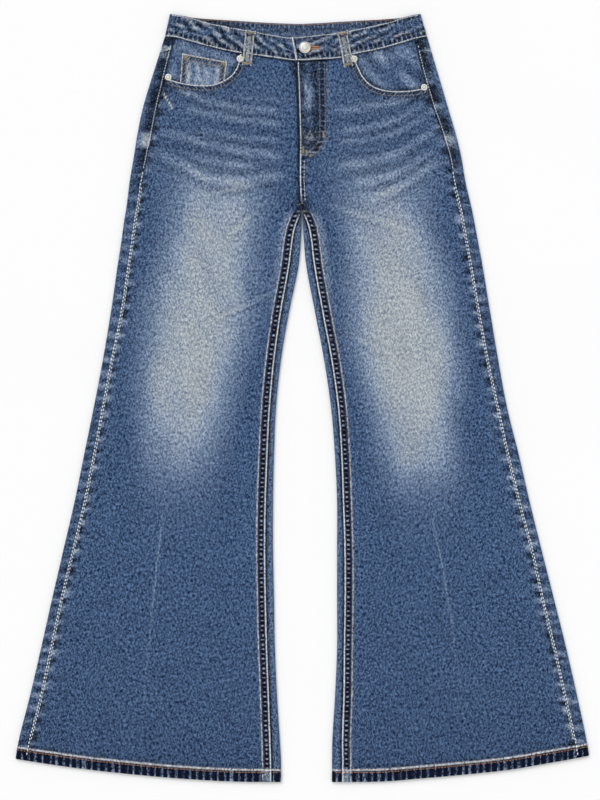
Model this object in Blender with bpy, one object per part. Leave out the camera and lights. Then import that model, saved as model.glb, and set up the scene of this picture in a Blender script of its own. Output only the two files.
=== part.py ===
"""Flared five-pocket jeans, laid flat on a surface and seen from the front.

X runs across the garment, Y from the hems to the waist and Z up from the surface. The origin is under the
middle of the garment. Sizes in the tables are millimetres: "across" is X, "height" is the distance up from the
lowest point of the hems. Right and left are the wearer's, so the right leg lies on the -X side.

Each leg is a tube of cloth pressed flat. Its back panel lies on the surface, turns up round both edges of the
leg and meets the front panel at the side seam and the inseam, which both lie on the upper face.
"""

import math

import bmesh
import bpy
import numpy as np

MM = 0.001

# Where the garment's middle lies in the tables
MID_ACROSS = -0.75
MID_HEIGHT = 548.4

# Cloth thicknesses and clearances
DENIM = 1.2
HEM_DENIM = 2.2
FACING_CLOTH = 1.0
COIN_CLOTH = 1.0
BAND = 2.2
STRAP = 1.4
SEAM_GAP = 0.4
WAIST_GAP = 0.6
YOKE_GAP = 0.6
FACING_GAP = 0.8
LAYER_GAP = 0.5
LYING_GAP = 0.35

# Turned edges of the legs and the waistband, as outer radii of the half round
EDGE_RADIUS = 2.0
HEM_RADIUS = 2.45
BAND_RADIUS = 2.45

# Front panels: how far they rise over what lies under them, and how far that rise reaches
FRONT_REST = DENIM + LAYER_GAP
SEAM_RISE = 2 * EDGE_RADIUS - DENIM - FRONT_REST
SEAM_REACH = 40.0
HEM_RISE = 2 * HEM_RADIUS - HEM_DENIM - FRONT_REST
HEM_DEPTH = 15.5
HEM_STEP = 2.0
HEM_FADE = 130.0
WAIST_RISE = 1.0
WAIST_REACH = 30.0
FACING_RISE = 1.5
COIN_RISE = 1.4
FLY_RISE = 1.5
FLY_WIDTH = 42.0
FLY_BOTTOM = 896.0
CROTCH_HEIGHT = 816.0
HIP_HEIGHT = 850.0

# Waistband
BAND_DEPTH = 33.0
OVERLAP_LIFT = BAND + LYING_GAP
UNDERLAP_END = 24.0
LIFT_START = 46.0
LIFT_END = 28.0

# Metal
BUTTON_RADIUS = 8.5
BUTTON_AT = (2.9, 1047.9)
RIVET_RADIUS = 4.6

# Legs, up from the hem: the leg's outer and inner edge, and how much of the back panel
# comes round each edge onto the upper face
LEG = ("height", "outer", "inner", "side_turn", "inseam_turn")
RIGHT_LEG = (
    (0.0, -415.0, -31.0, 16.5, 13.5),
    (35.0, -410.1, -31.5, 16.5, 13.5),
    (54.0, -407.0, -32.6, 16.6, 13.0),
    (122.0, -390.1, -36.9, 16.4, 11.0),
    (191.0, -374.0, -39.9, 15.0, 10.6),
    (260.0, -358.6, -41.2, 14.0, 11.0),
    (328.0, -342.9, -42.6, 14.5, 10.6),
    (397.0, -326.9, -42.6, 15.0, 9.8),
    (465.0, -313.0, -41.2, 14.8, 8.8),
    (534.0, -298.9, -38.3, 13.6, 8.2),
    (603.0, -285.7, -31.2, 13.5, 8.8),
    (671.0, -274.3, -19.7, 15.8, 10.8),
    (740.0, -264.3, -5.8, 16.2, 12.6),
    (774.0, -259.0, -2.8, 16.0, 11.2),
    (792.0, -256.6, -2.0, 16.0, 8.4),
    (806.0, -254.6, -1.6, 16.0, 3.6),
    (816.0, -252.8, -1.45, 16.2, 0.0),
    (860.0, -247.1, -1.4, 17.6, 0.0),
    (894.0, -241.4, -1.4, 19.0, 0.0),
    (929.0, -235.7, -1.4, 20.6, 0.0),
    (963.0, -228.5, -1.4, 20.0, 0.0),
    (997.0, -218.5, -1.4, 18.0, 0.0),
    (1035.0, -206.4, -1.4, 15.0, 0.0),
    (1065.0, -197.0, -1.4, 13.5, 0.0),
)
LEFT_LEG = (
    (0.0, 414.0, 41.5, 17.0, 14.0),
    (35.0, 409.3, 41.8, 17.2, 14.0),
    (54.0, 406.4, 42.0, 17.3, 13.4),
    (122.0, 392.1, 46.0, 17.4, 11.4),
    (191.0, 376.4, 48.9, 17.0, 9.2),
    (260.0, 359.2, 48.9, 16.4, 10.2),
    (328.0, 342.0, 48.9, 14.0, 10.0),
    (397.0, 324.9, 48.9, 15.0, 8.0),
    (465.0, 309.2, 46.0, 15.6, 8.4),
    (534.0, 292.0, 40.3, 13.4, 9.4),
    (603.0, 279.1, 30.3, 15.4, 9.8),
    (671.0, 267.7, 17.4, 16.4, 10.0),
    (740.0, 256.3, 4.6, 16.8, 10.6),
    (774.0, 250.0, 1.4, 16.6, 9.6),
    (792.0, 246.6, 0.1, 16.4, 7.6),
    (806.0, 244.0, -0.6, 16.2, 3.4),
    (816.0, 242.0, -0.85, 16.2, 0.0),
    (860.0, 231.9, -0.9, 16.6, 0.0),
    (894.0, 226.2, -0.9, 16.8, 0.0),
    (929.0, 217.6, -0.9, 18.6, 0.0),
    (963.0, 207.6, -0.9, 20.4, 0.0),
    (997.0, 197.6, -0.9, 20.8, 0.0),
    (1035.0, 186.2, -0.9, 19.4, 0.0),
    (1065.0, 177.6, -0.9, 17.0, 0.0),
)

# Hems, across each leg: how far the lower edge is above its lowest point
HEM = ("across", "rise")
RIGHT_HEM = (
    (-412.0, 33.4),
    (-368.6, 26.5),
    (-307.0, 17.9),
    (-225.7, 9.3),
    (-175.6, 5.0),
    (-97.0, 0.7),
    (-31.0, 0.0),
)
LEFT_HEM = (
    (41.8, 0.0),
    (111.8, 0.7),
    (167.6, 5.0),
    (217.6, 9.3),
    (297.7, 17.9),
    (347.8, 26.5),
    (393.5, 34.6),
    (411.0, 38.2),
)

# Centre line above the crotch: the back seam, the edge of the fly on the left front, and how
# far the right front runs on under that edge
CENTRE = ("height", "back_seam", "fly_edge", "tuck")
CENTRE_LINE = (
    (816.0, -1.15, -1.15, -0.4),
    (842.0, -1.6, -3.6, -0.4),
    (858.0, -2.0, -4.3, 3.0),
    (884.0, -2.7, -4.2, 8.5),
    (910.0, -3.5, -3.9, 10.0),
    (970.0, -4.8, -5.2, 10.0),
    (1030.0, -6.0, -7.6, 10.0),
    (1066.0, -6.6, -8.0, 10.0),
)

# Waist seam and top edge on the front, waist seam and top edge on the back
WAIST = ("across", "height")
FRONT_SEAM = (
    (-197.0, 1064.6),
    (-181.3, 1063.4),
    (-162.7, 1058.2),
    (-125.6, 1048.2),
    (-89.8, 1040.9),
    (-65.5, 1037.5),
    (-34.0, 1033.2),
    (-9.7, 1030.2),
    (21.7, 1031.2),
    (53.2, 1034.0),
    (74.6, 1039.4),
    (113.3, 1047.5),
    (140.4, 1055.2),
    (167.6, 1062.8),
    (177.6, 1064.6),
)
FRONT_TOP = (
    (-189.9, 1096.8),
    (-162.7, 1092.4),
    (-138.4, 1085.4),
    (-115.5, 1080.4),
    (-84.1, 1074.6),
    (-65.5, 1071.4),
    (-34.0, 1065.6),
    (-16.9, 1063.4),
    (13.2, 1065.8),
    (47.5, 1069.9),
    (66.0, 1073.2),
    (106.0, 1081.3),
    (124.7, 1085.9),
    (139.0, 1090.6),
    (159.0, 1095.6),
    (168.3, 1096.8),
)
BACK_TOP = (
    (-189.9, 1096.8),
    (-155.6, 1091.6),
    (-125.6, 1089.2),
    (-89.8, 1087.0),
    (-52.6, 1084.7),
    (-4.0, 1083.0),
    (21.7, 1084.0),
    (76.0, 1087.3),
    (113.3, 1089.2),
    (140.0, 1091.6),
    (168.3, 1096.8),
)

# Ends of the waistband's flat stretches, at the seam and at the top edge
RIGHT_CORNER = (-197.0, -189.9)
LEFT_CORNER = (177.6, 168.3)
OVERLAP_END = (-9.7, -16.2)

# The yoke's lower seam, at the side and in the middle of the back
YOKE_SIDE_HEIGHT = 1041.0
YOKE_CENTRE_HEIGHT = 979.0

# Front pocket openings, from the side seam to the waist seam
RIGHT_POCKET = (
    (-195.0, 1006.0),
    (-183.0, 1001.4),
    (-169.9, 998.1),
    (-144.1, 995.3),
    (-128.4, 996.3),
    (-117.0, 1000.3),
    (-105.5, 1006.7),
    (-97.0, 1016.0),
    (-92.0, 1027.5),
    (-89.8, 1040.0),
)
LEFT_POCKET = (
    (175.5, 991.9),
    (160.0, 988.8),
    (144.7, 987.4),
    (129.0, 987.4),
    (113.3, 989.5),
    (99.0, 995.3),
    (87.5, 1006.0),
    (79.7, 1020.3),
    (75.4, 1031.0),
    (73.6, 1038.6),
)

# How far the facing and the coin pocket go on under the front
FACING_UNDER = 11.0
COIN_UNDER = 7.0

# Places of the front panel's columns along the waist seam, from the pocket to the fly
RIGHT_WAIST_STEPS = (-74.0, -54.0, -34.0, -12.0, 1.6)
LEFT_WAIST_STEPS = (63.0, 52.0, 34.0, 13.0, -7.9)

# Coin pocket on the right facing: its corners at the mouth and where it goes under the front
COIN_MOUTH = ((-172.0, 1040.6), (-108.4, 1028.2))
COIN_FOOT = (-175.8, -113.2)

# Belt loops: the middle of the top and of the lower end, and the strap's width
RIGHT_LOOP = ((-74.8, 1073.0), (-80.2, 1022.6))
LEFT_LOOP = ((56.1, 1072.0), (65.4, 1021.2))
LOOP_WIDTH = 13.5
LOOP_HEAD = 15.5
LOOP_BOW = 1.5
LOOP_END_CLOTH = 2.2

# Creases across the hips, worn into ridges: the ridge's inner end, middle and outer end
CREASE = ("inner_x", "inner_h", "middle_x", "middle_h", "outer_x", "outer_h", "width", "rise")
RIGHT_CREASES = (
    (-34.0, 957.0, -126.0, 969.0, -183.0, 994.0, 9.0, 0.9),
    (-30.0, 939.0, -88.0, 946.0, -168.0, 962.0, 9.0, 0.8),
    (-34.0, 917.0, -80.0, 919.0, -154.0, 930.0, 8.0, 0.5),
    (-32.0, 893.0, -120.0, 908.0, -204.0, 930.0, 10.0, 1.0),
    (-70.0, 879.0, -110.0, 884.0, -150.0, 893.0, 8.0, 0.5),
    (-26.0, 867.0, -118.0, 858.0, -206.0, 899.0, 11.0, 1.0),
)
LEFT_CREASES = (
    (44.0, 957.0, 106.0, 966.0, 170.0, 984.0, 9.0, 0.6),
    (50.0, 929.0, 128.0, 943.0, 168.0, 966.0, 9.0, 0.8),
    (50.0, 913.0, 120.0, 924.0, 174.0, 948.0, 8.0, 0.6),
    (50.0, 878.0, 130.0, 896.0, 188.0, 930.0, 10.0, 1.0),
    (74.0, 856.0, 126.0, 866.0, 184.0, 898.0, 9.0, 0.7),
    (94.0, 829.0, 140.0, 852.0, 194.0, 886.0, 11.0, 0.9),
)

# Rivets at the ends of the pocket openings
RIVETS = (
    ("right", "waist", -89.8, 1032.6),
    ("right", "side", -192.0, 1006.2),
    ("left", "waist", 73.6, 1032.6),
    ("left", "side", 173.4, 991.9),
)

# Rows and columns of the pieces
LEG_LEVELS = [60.0 + 710.0 * i / 11 for i in range(12)]
FRONT_CROTCH_ROWS = (786.0, 796.0, 806.0, 812.0, 818.0, 830.0)
FRONT_HIP_ROWS = 16
BACK_CROTCH_ROWS = (786.0, 796.0, 802.0, 807.0, 812.0, 817.0, 830.0)
BACK_HIP_ROWS = 12
YOKE_ROWS = 4
TURN_STEPS = 6
FLAT_STEPS = 6
FLAT_TAIL = 3.6
BAND_STEPS = 3
BAND_FRONT_STEPS = 16
BAND_BACK_STEPS = 14
FACING_ROWS = 5
COIN_STEPS = 7
LOOP_STEPS = 13
EVEN_SHARE = 0.65

SIDES = {
    "right": {
        "inward": 1.0,
        "leg": RIGHT_LEG,
        "hem": RIGHT_HEM,
        "pocket": RIGHT_POCKET,
        "waist_steps": RIGHT_WAIST_STEPS,
        "creases": RIGHT_CREASES,
    },
    "left": {
        "inward": -1.0,
        "leg": LEFT_LEG,
        "hem": LEFT_HEM,
        "pocket": LEFT_POCKET,
        "waist_steps": LEFT_WAIST_STEPS,
        "creases": LEFT_CREASES,
    },
}

DENIM_BLUE = (0.075, 0.125, 0.215)
DENIM_DARK = (0.045, 0.075, 0.13)
NICKEL = (0.74, 0.74, 0.71)


def ease(t):
    """Soft step from 0 to 1 as t goes from 0 to 1."""
    t = np.clip(t, 0.0, 1.0)
    return t * t * (3.0 - 2.0 * t)


def smooth(xs, ys, x):
    """Smooth curve through the points (xs, ys), read at x, and straight past its ends."""
    xs = np.asarray(xs, float)
    ys = np.asarray(ys, float)
    x = np.asarray(x, float)
    steps = np.diff(ys) / np.diff(xs)
    slopes = np.concatenate((steps[:1], (steps[1:] + steps[:-1]) / 2, steps[-1:]))
    i = np.clip(np.searchsorted(xs, x) - 1, 0, len(xs) - 2)
    span = xs[i + 1] - xs[i]
    t = np.clip((x - xs[i]) / span, 0.0, 1.0)
    start = (1 + 2 * t) * (1 - t) ** 2 * ys[i] + t * (1 - t) ** 2 * span * slopes[i]
    end = t * t * (3 - 2 * t) * ys[i + 1] + t * t * (t - 1) * span * slopes[i + 1]
    past = (x - np.clip(x, xs[0], xs[-1])) * np.where(x < xs[0], slopes[0], slopes[-1])
    return start + end + past


def column(table, names, name, at):
    """A named column of a table, read at a place along its first column."""
    rows = np.array(table)
    return smooth(rows[:, 0], rows[:, names.index(name)], at)


def leg(side, name, height):
    return column(SIDES[side]["leg"], LEG, name, height)


def centre(name, height):
    return column(CENTRE_LINE, CENTRE, name, height)


def waist(edge, across):
    return column(edge, WAIST, "height", across)


def back_seam(across):
    """The waist seam on the back: the band's depth under its top edge, and level with the front's at the sides."""
    lean = ease((across - RIGHT_CORNER[0]) / 60) * ease((LEFT_CORNER[0] - across) / 60)
    return waist(BACK_TOP, across) * lean + waist(FRONT_TOP, across) * (1 - lean) - BAND_DEPTH


def hem_rise(side, across, height):
    """How far a row is moved up, so that the rows near the hem run along it."""
    rise = column(SIDES[side]["hem"], HEM, "rise", across)
    return rise * (1 - ease((height - HEM_DEPTH - HEM_STEP) / HEM_FADE))


def side_edge(side, height):
    """The front panel's edge at the side seam."""
    turn = leg(side, "side_turn", height) + SEAM_GAP
    return leg(side, "outer", height) + SIDES[side]["inward"] * turn


def inner_edge(side, height):
    """The front panel's edge at the inseam, and above the crotch at the fly."""
    turn = leg(side, "inseam_turn", height) + SEAM_GAP
    inseam = leg(side, "inner", height) - SIDES[side]["inward"] * turn
    fly = centre("fly_edge", height)
    if side == "right":
        fly = fly + centre("tuck", height)
    above = ease((height - CROTCH_HEIGHT + 4) / 6)
    return inseam * (1 - above) + fly * above


def back_edge(side, height):
    """The back panel's inner edge: the leg's, and above the crotch the seam down the middle of the back."""
    seam = centre("back_seam", height) - SIDES[side]["inward"] * SEAM_GAP / 2
    above = ease((height - CROTCH_HEIGHT + 4) / 6)
    return leg(side, "inner", height) * (1 - above) + seam * above


def distance(points, x, y):
    """Distance from each place (x, y) to a line through some points."""
    best = np.full(np.shape(x), np.inf)
    for (ax, ay), (bx, by) in zip(points[:-1], points[1:]):
        length = (bx - ax) ** 2 + (by - ay) ** 2
        t = np.clip(((x - ax) * (bx - ax) + (y - ay) * (by - ay)) / length, 0, 1)
        best = np.minimum(best, np.hypot(x - ax - t * (bx - ax), y - ay - t * (by - ay)))
    return best


def creases(side, x, y):
    """Rise of the hip creases: each is a soft ridge along an arc through its three places."""
    total = np.zeros(np.shape(x))
    for row in SIDES[side]["creases"]:
        crease = dict(zip(CREASE, row))
        ends = [(crease[end + "_x"], crease[end + "_h"]) for end in ("inner", "middle", "outer")]
        xs, hs = np.array(sorted(ends)).T
        along = ease((x - xs[0] + 12) / 30) * ease((xs[-1] + 12 - x) / 30)
        off_ridge = (y - smooth(xs, hs, x)) / crease["width"]
        total = total + crease["rise"] * along * np.exp(-off_ridge * off_ridge)
    return total


def in_hem(above_hem):
    """1 in the turned-up hem, 0 above it, with a short step between."""
    return 1 - ease((above_hem - HEM_DEPTH) / HEM_STEP)


def front_under(side, x, y, above_hem):
    """Height of the front panel's under face."""
    inward = SIDES[side]["inward"]
    to_side = np.maximum(inward * (x - side_edge(side, y)), 0)
    to_inner = np.maximum(inward * (inner_edge(side, y) - x), 0)
    below_crotch = 1 - ease((y - CROTCH_HEIGHT) / 26)
    pocket = SIDES[side]["pocket"]
    facing = FACING_RISE * (1 - ease((distance(pocket, x, y) - 14) / 45))
    band = WAIST_RISE * (1 - ease((waist(FRONT_SEAM, x) - y) / WAIST_REACH))
    if side == "right":
        over_coin = [p for p in pocket if COIN_FOOT[0] - 6 < p[0] < COIN_FOOT[1] + 8]
        facing = facing + COIN_RISE * (1 - ease((distance(over_coin, x, y) - 9) / 35))
        band = band * ease((to_inner - 22) / 25)
        fly = 0.0
    else:
        width = 14 + (FLY_WIDTH - 14) * ease((y - FLY_BOTTOM) / 22)
        fly = FLY_RISE * (1 - ease((to_inner - width) / 20)) * ease((y - CROTCH_HEIGHT) / 12)
    rise = SEAM_RISE * (1 - ease(to_side / SEAM_REACH))
    rise = np.maximum(rise, SEAM_RISE * (1 - ease(to_inner / SEAM_REACH)) * below_crotch)
    rise = np.maximum(rise, np.maximum(facing, band))
    rise = np.maximum(rise, np.maximum(fly, HEM_RISE * in_hem(above_hem)))
    return FRONT_REST + rise + creases(side, x, y)


def front_top(side, x, y):
    """Height of the front panel's upper face, away from the hem."""
    return front_under(side, x, y, 1000.0) + DENIM


def place(x, y, z):
    """Points in metres, about the garment's middle, from table sizes."""
    x, y, z = np.broadcast_arrays(x, y, z)
    return np.stack((x - MID_ACROSS, y - MID_HEIGHT, z), axis=-1) * MM


def add_object(name, bm, colour, roughness, metallic=0.0):
    """An object of the given shape with a material of its own."""
    bmesh.ops.recalc_face_normals(bm, faces=bm.faces[:])
    mesh = bpy.data.meshes.new(name)
    bm.to_mesh(mesh)
    bm.free()
    mesh.shade_smooth()
    mesh.set_sharp_from_angle(angle=math.radians(35))
    material = bpy.data.materials.new(name)
    material.use_nodes = True
    shader = material.node_tree.nodes["Principled BSDF"]
    shader.inputs["Base Color"].default_value = (*colour, 1.0)
    shader.inputs["Roughness"].default_value = roughness
    shader.inputs["Metallic"].default_value = metallic
    mesh.materials.append(material)
    made = bpy.data.objects.new(name, mesh)
    bpy.context.scene.collection.objects.link(made)
    return made


def cloth(name, outer, inner, colour=DENIM_BLUE):
    """A closed wall of cloth between two faces, each a grid of points with the same rows and columns."""
    rows, columns = outer.shape[:2]
    bm = bmesh.new()
    bmesh.ops.create_grid(bm, x_segments=columns - 1, y_segments=rows - 1, size=0.5)
    bm.verts.ensure_lookup_table()
    spot = bm.verts.layers.int.new("spot")
    for i, vert in enumerate(bm.verts):
        vert[spot] = i
    added = bmesh.ops.extrude_face_region(bm, geom=bm.faces[:], use_keep_orig=True)["geom"]
    inner_verts = {v for v in added if isinstance(v, bmesh.types.BMVert)}
    outer = outer.reshape(-1, 3)
    inner = inner.reshape(-1, 3)
    for vert in bm.verts:
        vert.co = inner[vert[spot]] if vert in inner_verts else outer[vert[spot]]
    return add_object(name, bm, colour, 0.85)


def turned(name, profile, centre_at, segments):
    """A round piece of metal: its profile, from the middle of its foot to the middle of its top, spun about Z."""
    bm = bmesh.new()
    verts = [bm.verts.new((r * MM, 0.0, z * MM)) for r, z in profile]
    edges = [bm.edges.new(pair) for pair in zip(verts[:-1], verts[1:])]
    bmesh.ops.spin(
        bm,
        geom=verts + edges,
        cent=(0, 0, 0),
        axis=(0, 0, 1),
        angle=2 * math.pi,
        steps=segments,
        use_merge=True,
    )
    bmesh.ops.remove_doubles(bm, verts=bm.verts[:], dist=0.00001)
    made = add_object(name, bm, NICKEL, 0.3, 1.0)
    made.location = place(*centre_at)
    return made


def front_grid(side):
    """Places of the front panel's points: rows up the leg, then up to the pocket's edge and the waist seam."""
    facts = SIDES[side]
    steps = [(x, float(waist(FRONT_SEAM, x))) for x in facts["waist_steps"]]
    top = np.array(list(facts["pocket"]) + steps) - (0.0, WAIST_GAP)
    near = side_edge(side, top[:, 1])
    top_shares = (top[:, 0] - near) / (inner_edge(side, top[:, 1]) - near)
    top_shares[[0, -1]] = 0.0, 1.0
    shares = EVEN_SHARE * np.linspace(0, 1, len(top)) + (1 - EVEN_SHARE) * top_shares
    rows = []
    for level in [0.0, HEM_DEPTH, HEM_DEPTH + HEM_STEP, *LEG_LEVELS, *FRONT_CROTCH_ROWS]:
        y = np.full(len(shares), level)
        for _ in range(3):
            x = side_edge(side, y) * (1 - shares) + inner_edge(side, y) * shares
            y = level + hem_rise(side, x, level)
        rows.append((x, y))
    for t in np.linspace(0, 1, FRONT_HIP_ROWS):
        y = HIP_HEIGHT + (top[:, 1] - HIP_HEIGHT) * t
        share = shares + (top_shares - shares) * t
        rows.append((side_edge(side, y) * (1 - share) + inner_edge(side, y) * share, y))
    return np.array(rows).transpose(1, 0, 2)


def build_front(side):
    x, y = front_grid(side)
    above_hem = y - column(SIDES[side]["hem"], HEM, "rise", x)
    under = front_under(side, x, y, above_hem)
    thick = DENIM + (HEM_DENIM - DENIM) * in_hem(above_hem)
    return cloth(side + "_front", place(x, y, under + thick), place(x, y, under))


def turned_row(side_turn, radius, thick, fold, inseam_turn, steps_after):
    """One row across a piece that starts on the upper face, turns round the outer edge and runs along under it.

    Each point is a share of the way from the outer edge to the inner one, a shift from there and a height. As
    fold goes from 0 to 1 the row's end turns up round the inner edge and back over the upper face.
    """
    angles = np.linspace(0, math.pi, TURN_STEPS)
    flat = np.linspace(0, 1, FLAT_STEPS + 1)[1:]
    flat_shift = -radius if fold > 0 else -FLAT_TAIL * (steps_after > 0)
    faces = []
    for inset in (0.0, thick):
        r = radius - inset
        shift = [side_turn, (side_turn + radius) / 2, *(radius - r * np.sin(angles))]
        z = [2 * radius - inset, 2 * radius - inset, *(radius + r * np.cos(angles))]
        share = [0.0] * len(shift) + list(flat)
        shift += list(radius + (flat_shift - radius) * flat)
        z += [inset] * FLAT_STEPS
        if steps_after and fold > 0:
            turn = angles[1:] * fold
            shift += list(flat_shift + r * np.sin(turn))
            z += list(radius - r * np.cos(turn))
            ahead = np.array([0.5, 1.0]) * max(inseam_turn - radius, 1.2)
            shift += list(shift[-1] + ahead * math.cos(math.pi * fold))
            z += list(z[-1] + ahead * math.sin(math.pi * fold))
        elif steps_after:
            shift += list(np.linspace(flat_shift, 0, steps_after + 1)[1:])
            z += [inset] * steps_after
        share += [1.0] * steps_after
        faces.append(np.array([share, shift, z]))
    return faces


def across_row(side, share, shift, y):
    """Across places of a row's points at their heights."""
    outer = leg(side, "outer", y)
    return outer + (back_edge(side, y) - outer) * share + SIDES[side]["inward"] * shift


def yoke_seam(side, x, upper):
    """The seam between the back panel and the yoke: it climbs from the middle of the back and on over the side."""
    outer = leg(side, "outer", YOKE_SIDE_HEIGHT)
    middle = centre("back_seam", YOKE_CENTRE_HEIGHT)
    share = (x - outer) / (middle - outer)
    fall = (YOKE_SIDE_HEIGHT - YOKE_CENTRE_HEIGHT) * share
    return YOKE_SIDE_HEIGHT + np.where(upper, fall, -fall)


def build_back(side):
    """A back panel, from the hem to the yoke, turned up round both edges of its leg."""
    faces = ([], [])
    for level in [0.0, HEM_DEPTH, HEM_DEPTH + HEM_STEP, *LEG_LEVELS, *BACK_CROTCH_ROWS]:
        hem = float(in_hem(level))
        radius = EDGE_RADIUS + (HEM_RADIUS - EDGE_RADIUS) * hem
        thick = DENIM + (HEM_DENIM - DENIM) * hem
        fold = float(ease((CROTCH_HEIGHT - level) / 9))
        turns = (leg(side, "side_turn", level), leg(side, "inseam_turn", level))
        row = turned_row(turns[0], radius, thick, fold, turns[1], TURN_STEPS + 1)
        for face, (share, shift, z) in zip(faces, row):
            y = np.full(len(share), level)
            for _ in range(3):
                x = across_row(side, share, shift, y)
                y = level + hem_rise(side, x, level)
            face.append(place(x, y, z))
    for t in np.linspace(0, 1, BACK_HIP_ROWS):
        level = HIP_HEIGHT + (YOKE_SIDE_HEIGHT - HIP_HEIGHT) * t
        row = turned_row(leg(side, "side_turn", level), EDGE_RADIUS, DENIM, 0.0, 0.0, TURN_STEPS + 1)
        for face, (share, shift, z) in zip(faces, row):
            y = np.full(len(share), level)
            for _ in range(3):
                x = across_row(side, share, shift, y)
                y = HIP_HEIGHT + (yoke_seam(side, x, z > EDGE_RADIUS) - YOKE_GAP / 2 - HIP_HEIGHT) * t
            face.append(place(x, y, z))
    return cloth(side + "_back", np.array(faces[0]), np.array(faces[1]))


def build_yoke(side):
    """The yoke: between the back panel and the waistband, turned over the side onto the upper face."""
    faces = ([], [])
    for t in np.linspace(0, 1, YOKE_ROWS):
        level = YOKE_SIDE_HEIGHT + (RIGHT_LEG[-1][0] - YOKE_SIDE_HEIGHT) * t
        row = turned_row(leg(side, "side_turn", level), EDGE_RADIUS, DENIM, 0.0, 0.0, 0)
        for face, (share, shift, z) in zip(faces, row):
            upper = z > EDGE_RADIUS
            y = np.full(len(share), level)
            for _ in range(4):
                x = across_row(side, share, shift, y)
                low = yoke_seam(side, x, upper) + YOKE_GAP / 2
                high = np.where(upper, waist(FRONT_SEAM, x), back_seam(x)) - WAIST_GAP
                y = low + (high - low) * t
            face.append(place(x, y, z))
    return cloth(side + "_yoke", np.array(faces[0]), np.array(faces[1]))


def band_run(lower, upper, low_edge, high_edge, outer_z, inner_z, steps):
    """Part of the waistband that lies flat: sections between two ends, each given at the seam and the top edge."""
    shares = np.linspace(0, 1, steps)[:, None]
    depth = np.linspace(0, 1, BAND_STEPS)[None, :]
    low_x = lower[0] + (lower[1] - lower[0]) * shares
    high_x = upper[0] + (upper[1] - upper[0]) * shares
    x = low_x + (high_x - low_x) * depth
    y = low_edge(low_x) + (high_edge(high_x) - low_edge(low_x)) * depth
    return x, y, outer_z(x) + 0 * y, inner_z(x) + 0 * y


def band_turn(corner, inward, start):
    """Sections round a side of the waistband, from the upper face down or from the lower face up."""
    turn = np.linspace(0, math.pi, TURN_STEPS + 2)[1:-1, None]
    depth = np.linspace(0, 1, BAND_STEPS)[None, :]
    edge = corner[0] + (corner[1] - corner[0]) * depth
    y = waist(FRONT_SEAM, corner[0]) * (1 - depth) + waist(FRONT_TOP, corner[1]) * depth
    rows = []
    for r in (BAND_RADIUS, BAND_RADIUS - BAND):
        x = edge + inward * (BAND_RADIUS - r * np.sin(turn))
        z = BAND_RADIUS + start * r * np.cos(turn)
        rows.append((x, y + 0 * x, z + 0 * x))
    return rows


def build_waistband():
    """The waistband: one band round the waist, whose left end laps over its right end at the front."""

    def under(x):
        return 2 * BAND_RADIUS - BAND + 0 * x

    def lapped(x):
        return under(x) + OVERLAP_LIFT * ease((LIFT_START - x) / (LIFT_START - LIFT_END))

    def front_low(x):
        return waist(FRONT_SEAM, x)

    def front_high(x):
        return waist(FRONT_TOP, x)

    def back_high(x):
        return waist(BACK_TOP, x)

    r = BAND_RADIUS
    right = (RIGHT_CORNER[0] + r, RIGHT_CORNER[1] + r)
    left = (LEFT_CORNER[0] - r, LEFT_CORNER[1] - r)
    runs = [
        band_run(
            (UNDERLAP_END, right[0]), (UNDERLAP_END, right[1]), front_low, front_high,
            lambda x: under(x) + BAND, under, BAND_FRONT_STEPS,
        ),
        band_run(
            (right[0], left[0]), (right[1], left[1]), back_seam, back_high,
            lambda x: 0 * x, lambda x: 0 * x + BAND, BAND_BACK_STEPS,
        ),
        band_run(
            (left[0], OVERLAP_END[0]), (left[1], OVERLAP_END[1]), front_low, front_high,
            lambda x: lapped(x) + BAND, lapped, BAND_FRONT_STEPS,
        ),
    ]
    turns = [band_turn(RIGHT_CORNER, 1.0, 1.0), band_turn(LEFT_CORNER, -1.0, -1.0)]
    outer = []
    inner = []
    for run, turn in zip(runs, turns + [None]):
        x, y, outer_z, inner_z = run
        outer.append(place(x, y, outer_z))
        inner.append(place(x, y, inner_z))
        if turn:
            outer.append(place(*turn[0]))
            inner.append(place(*turn[1]))
    return cloth("waistband", np.concatenate(outer), np.concatenate(inner))


def beside(points, offset):
    """A line through some points moved sideways by a distance."""
    points = np.array(points)
    along = np.gradient(points, axis=0)
    along /= np.hypot(along[:, 0], along[:, 1])[:, None]
    return points + np.stack((along[:, 1], -along[:, 0]), axis=1) * offset


def build_facing(side):
    """The piece that shows in the pocket opening, sewn to the side seam and the waist, under the front panel."""
    inward = SIDES[side]["inward"]
    foot = beside(SIDES[side]["pocket"][:-1], inward * FACING_UNDER)
    side_top = waist(FRONT_SEAM, side_edge(side, 1060.0)) - WAIST_GAP
    top_x = np.linspace(side_edge(side, side_top), foot[-1, 0] + inward * 2, len(foot))
    top = np.stack((top_x, waist(FRONT_SEAM, top_x) - WAIST_GAP), axis=1)
    t = np.linspace(0, 1, FACING_ROWS)[:, None]
    x = foot[:, 0] * (1 - t) + top[:, 0] * t
    y = foot[:, 1] * (1 - t) + top[:, 1] * t
    x[:, 0] = side_edge(side, y[:, 0]) + inward * (FACING_GAP - SEAM_GAP)
    pocket_end = SIDES[side]["pocket"][-1][0]
    near_band = 1 - ease((waist(FRONT_SEAM, x) - y) / 16)
    in_opening = ease((inward * (pocket_end - x) - 6) / 14)
    under = FRONT_REST + 0.9 * near_band * in_opening
    return cloth(side + "_pocket_facing", place(x, y, under + FACING_CLOTH), place(x, y, under))


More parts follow.
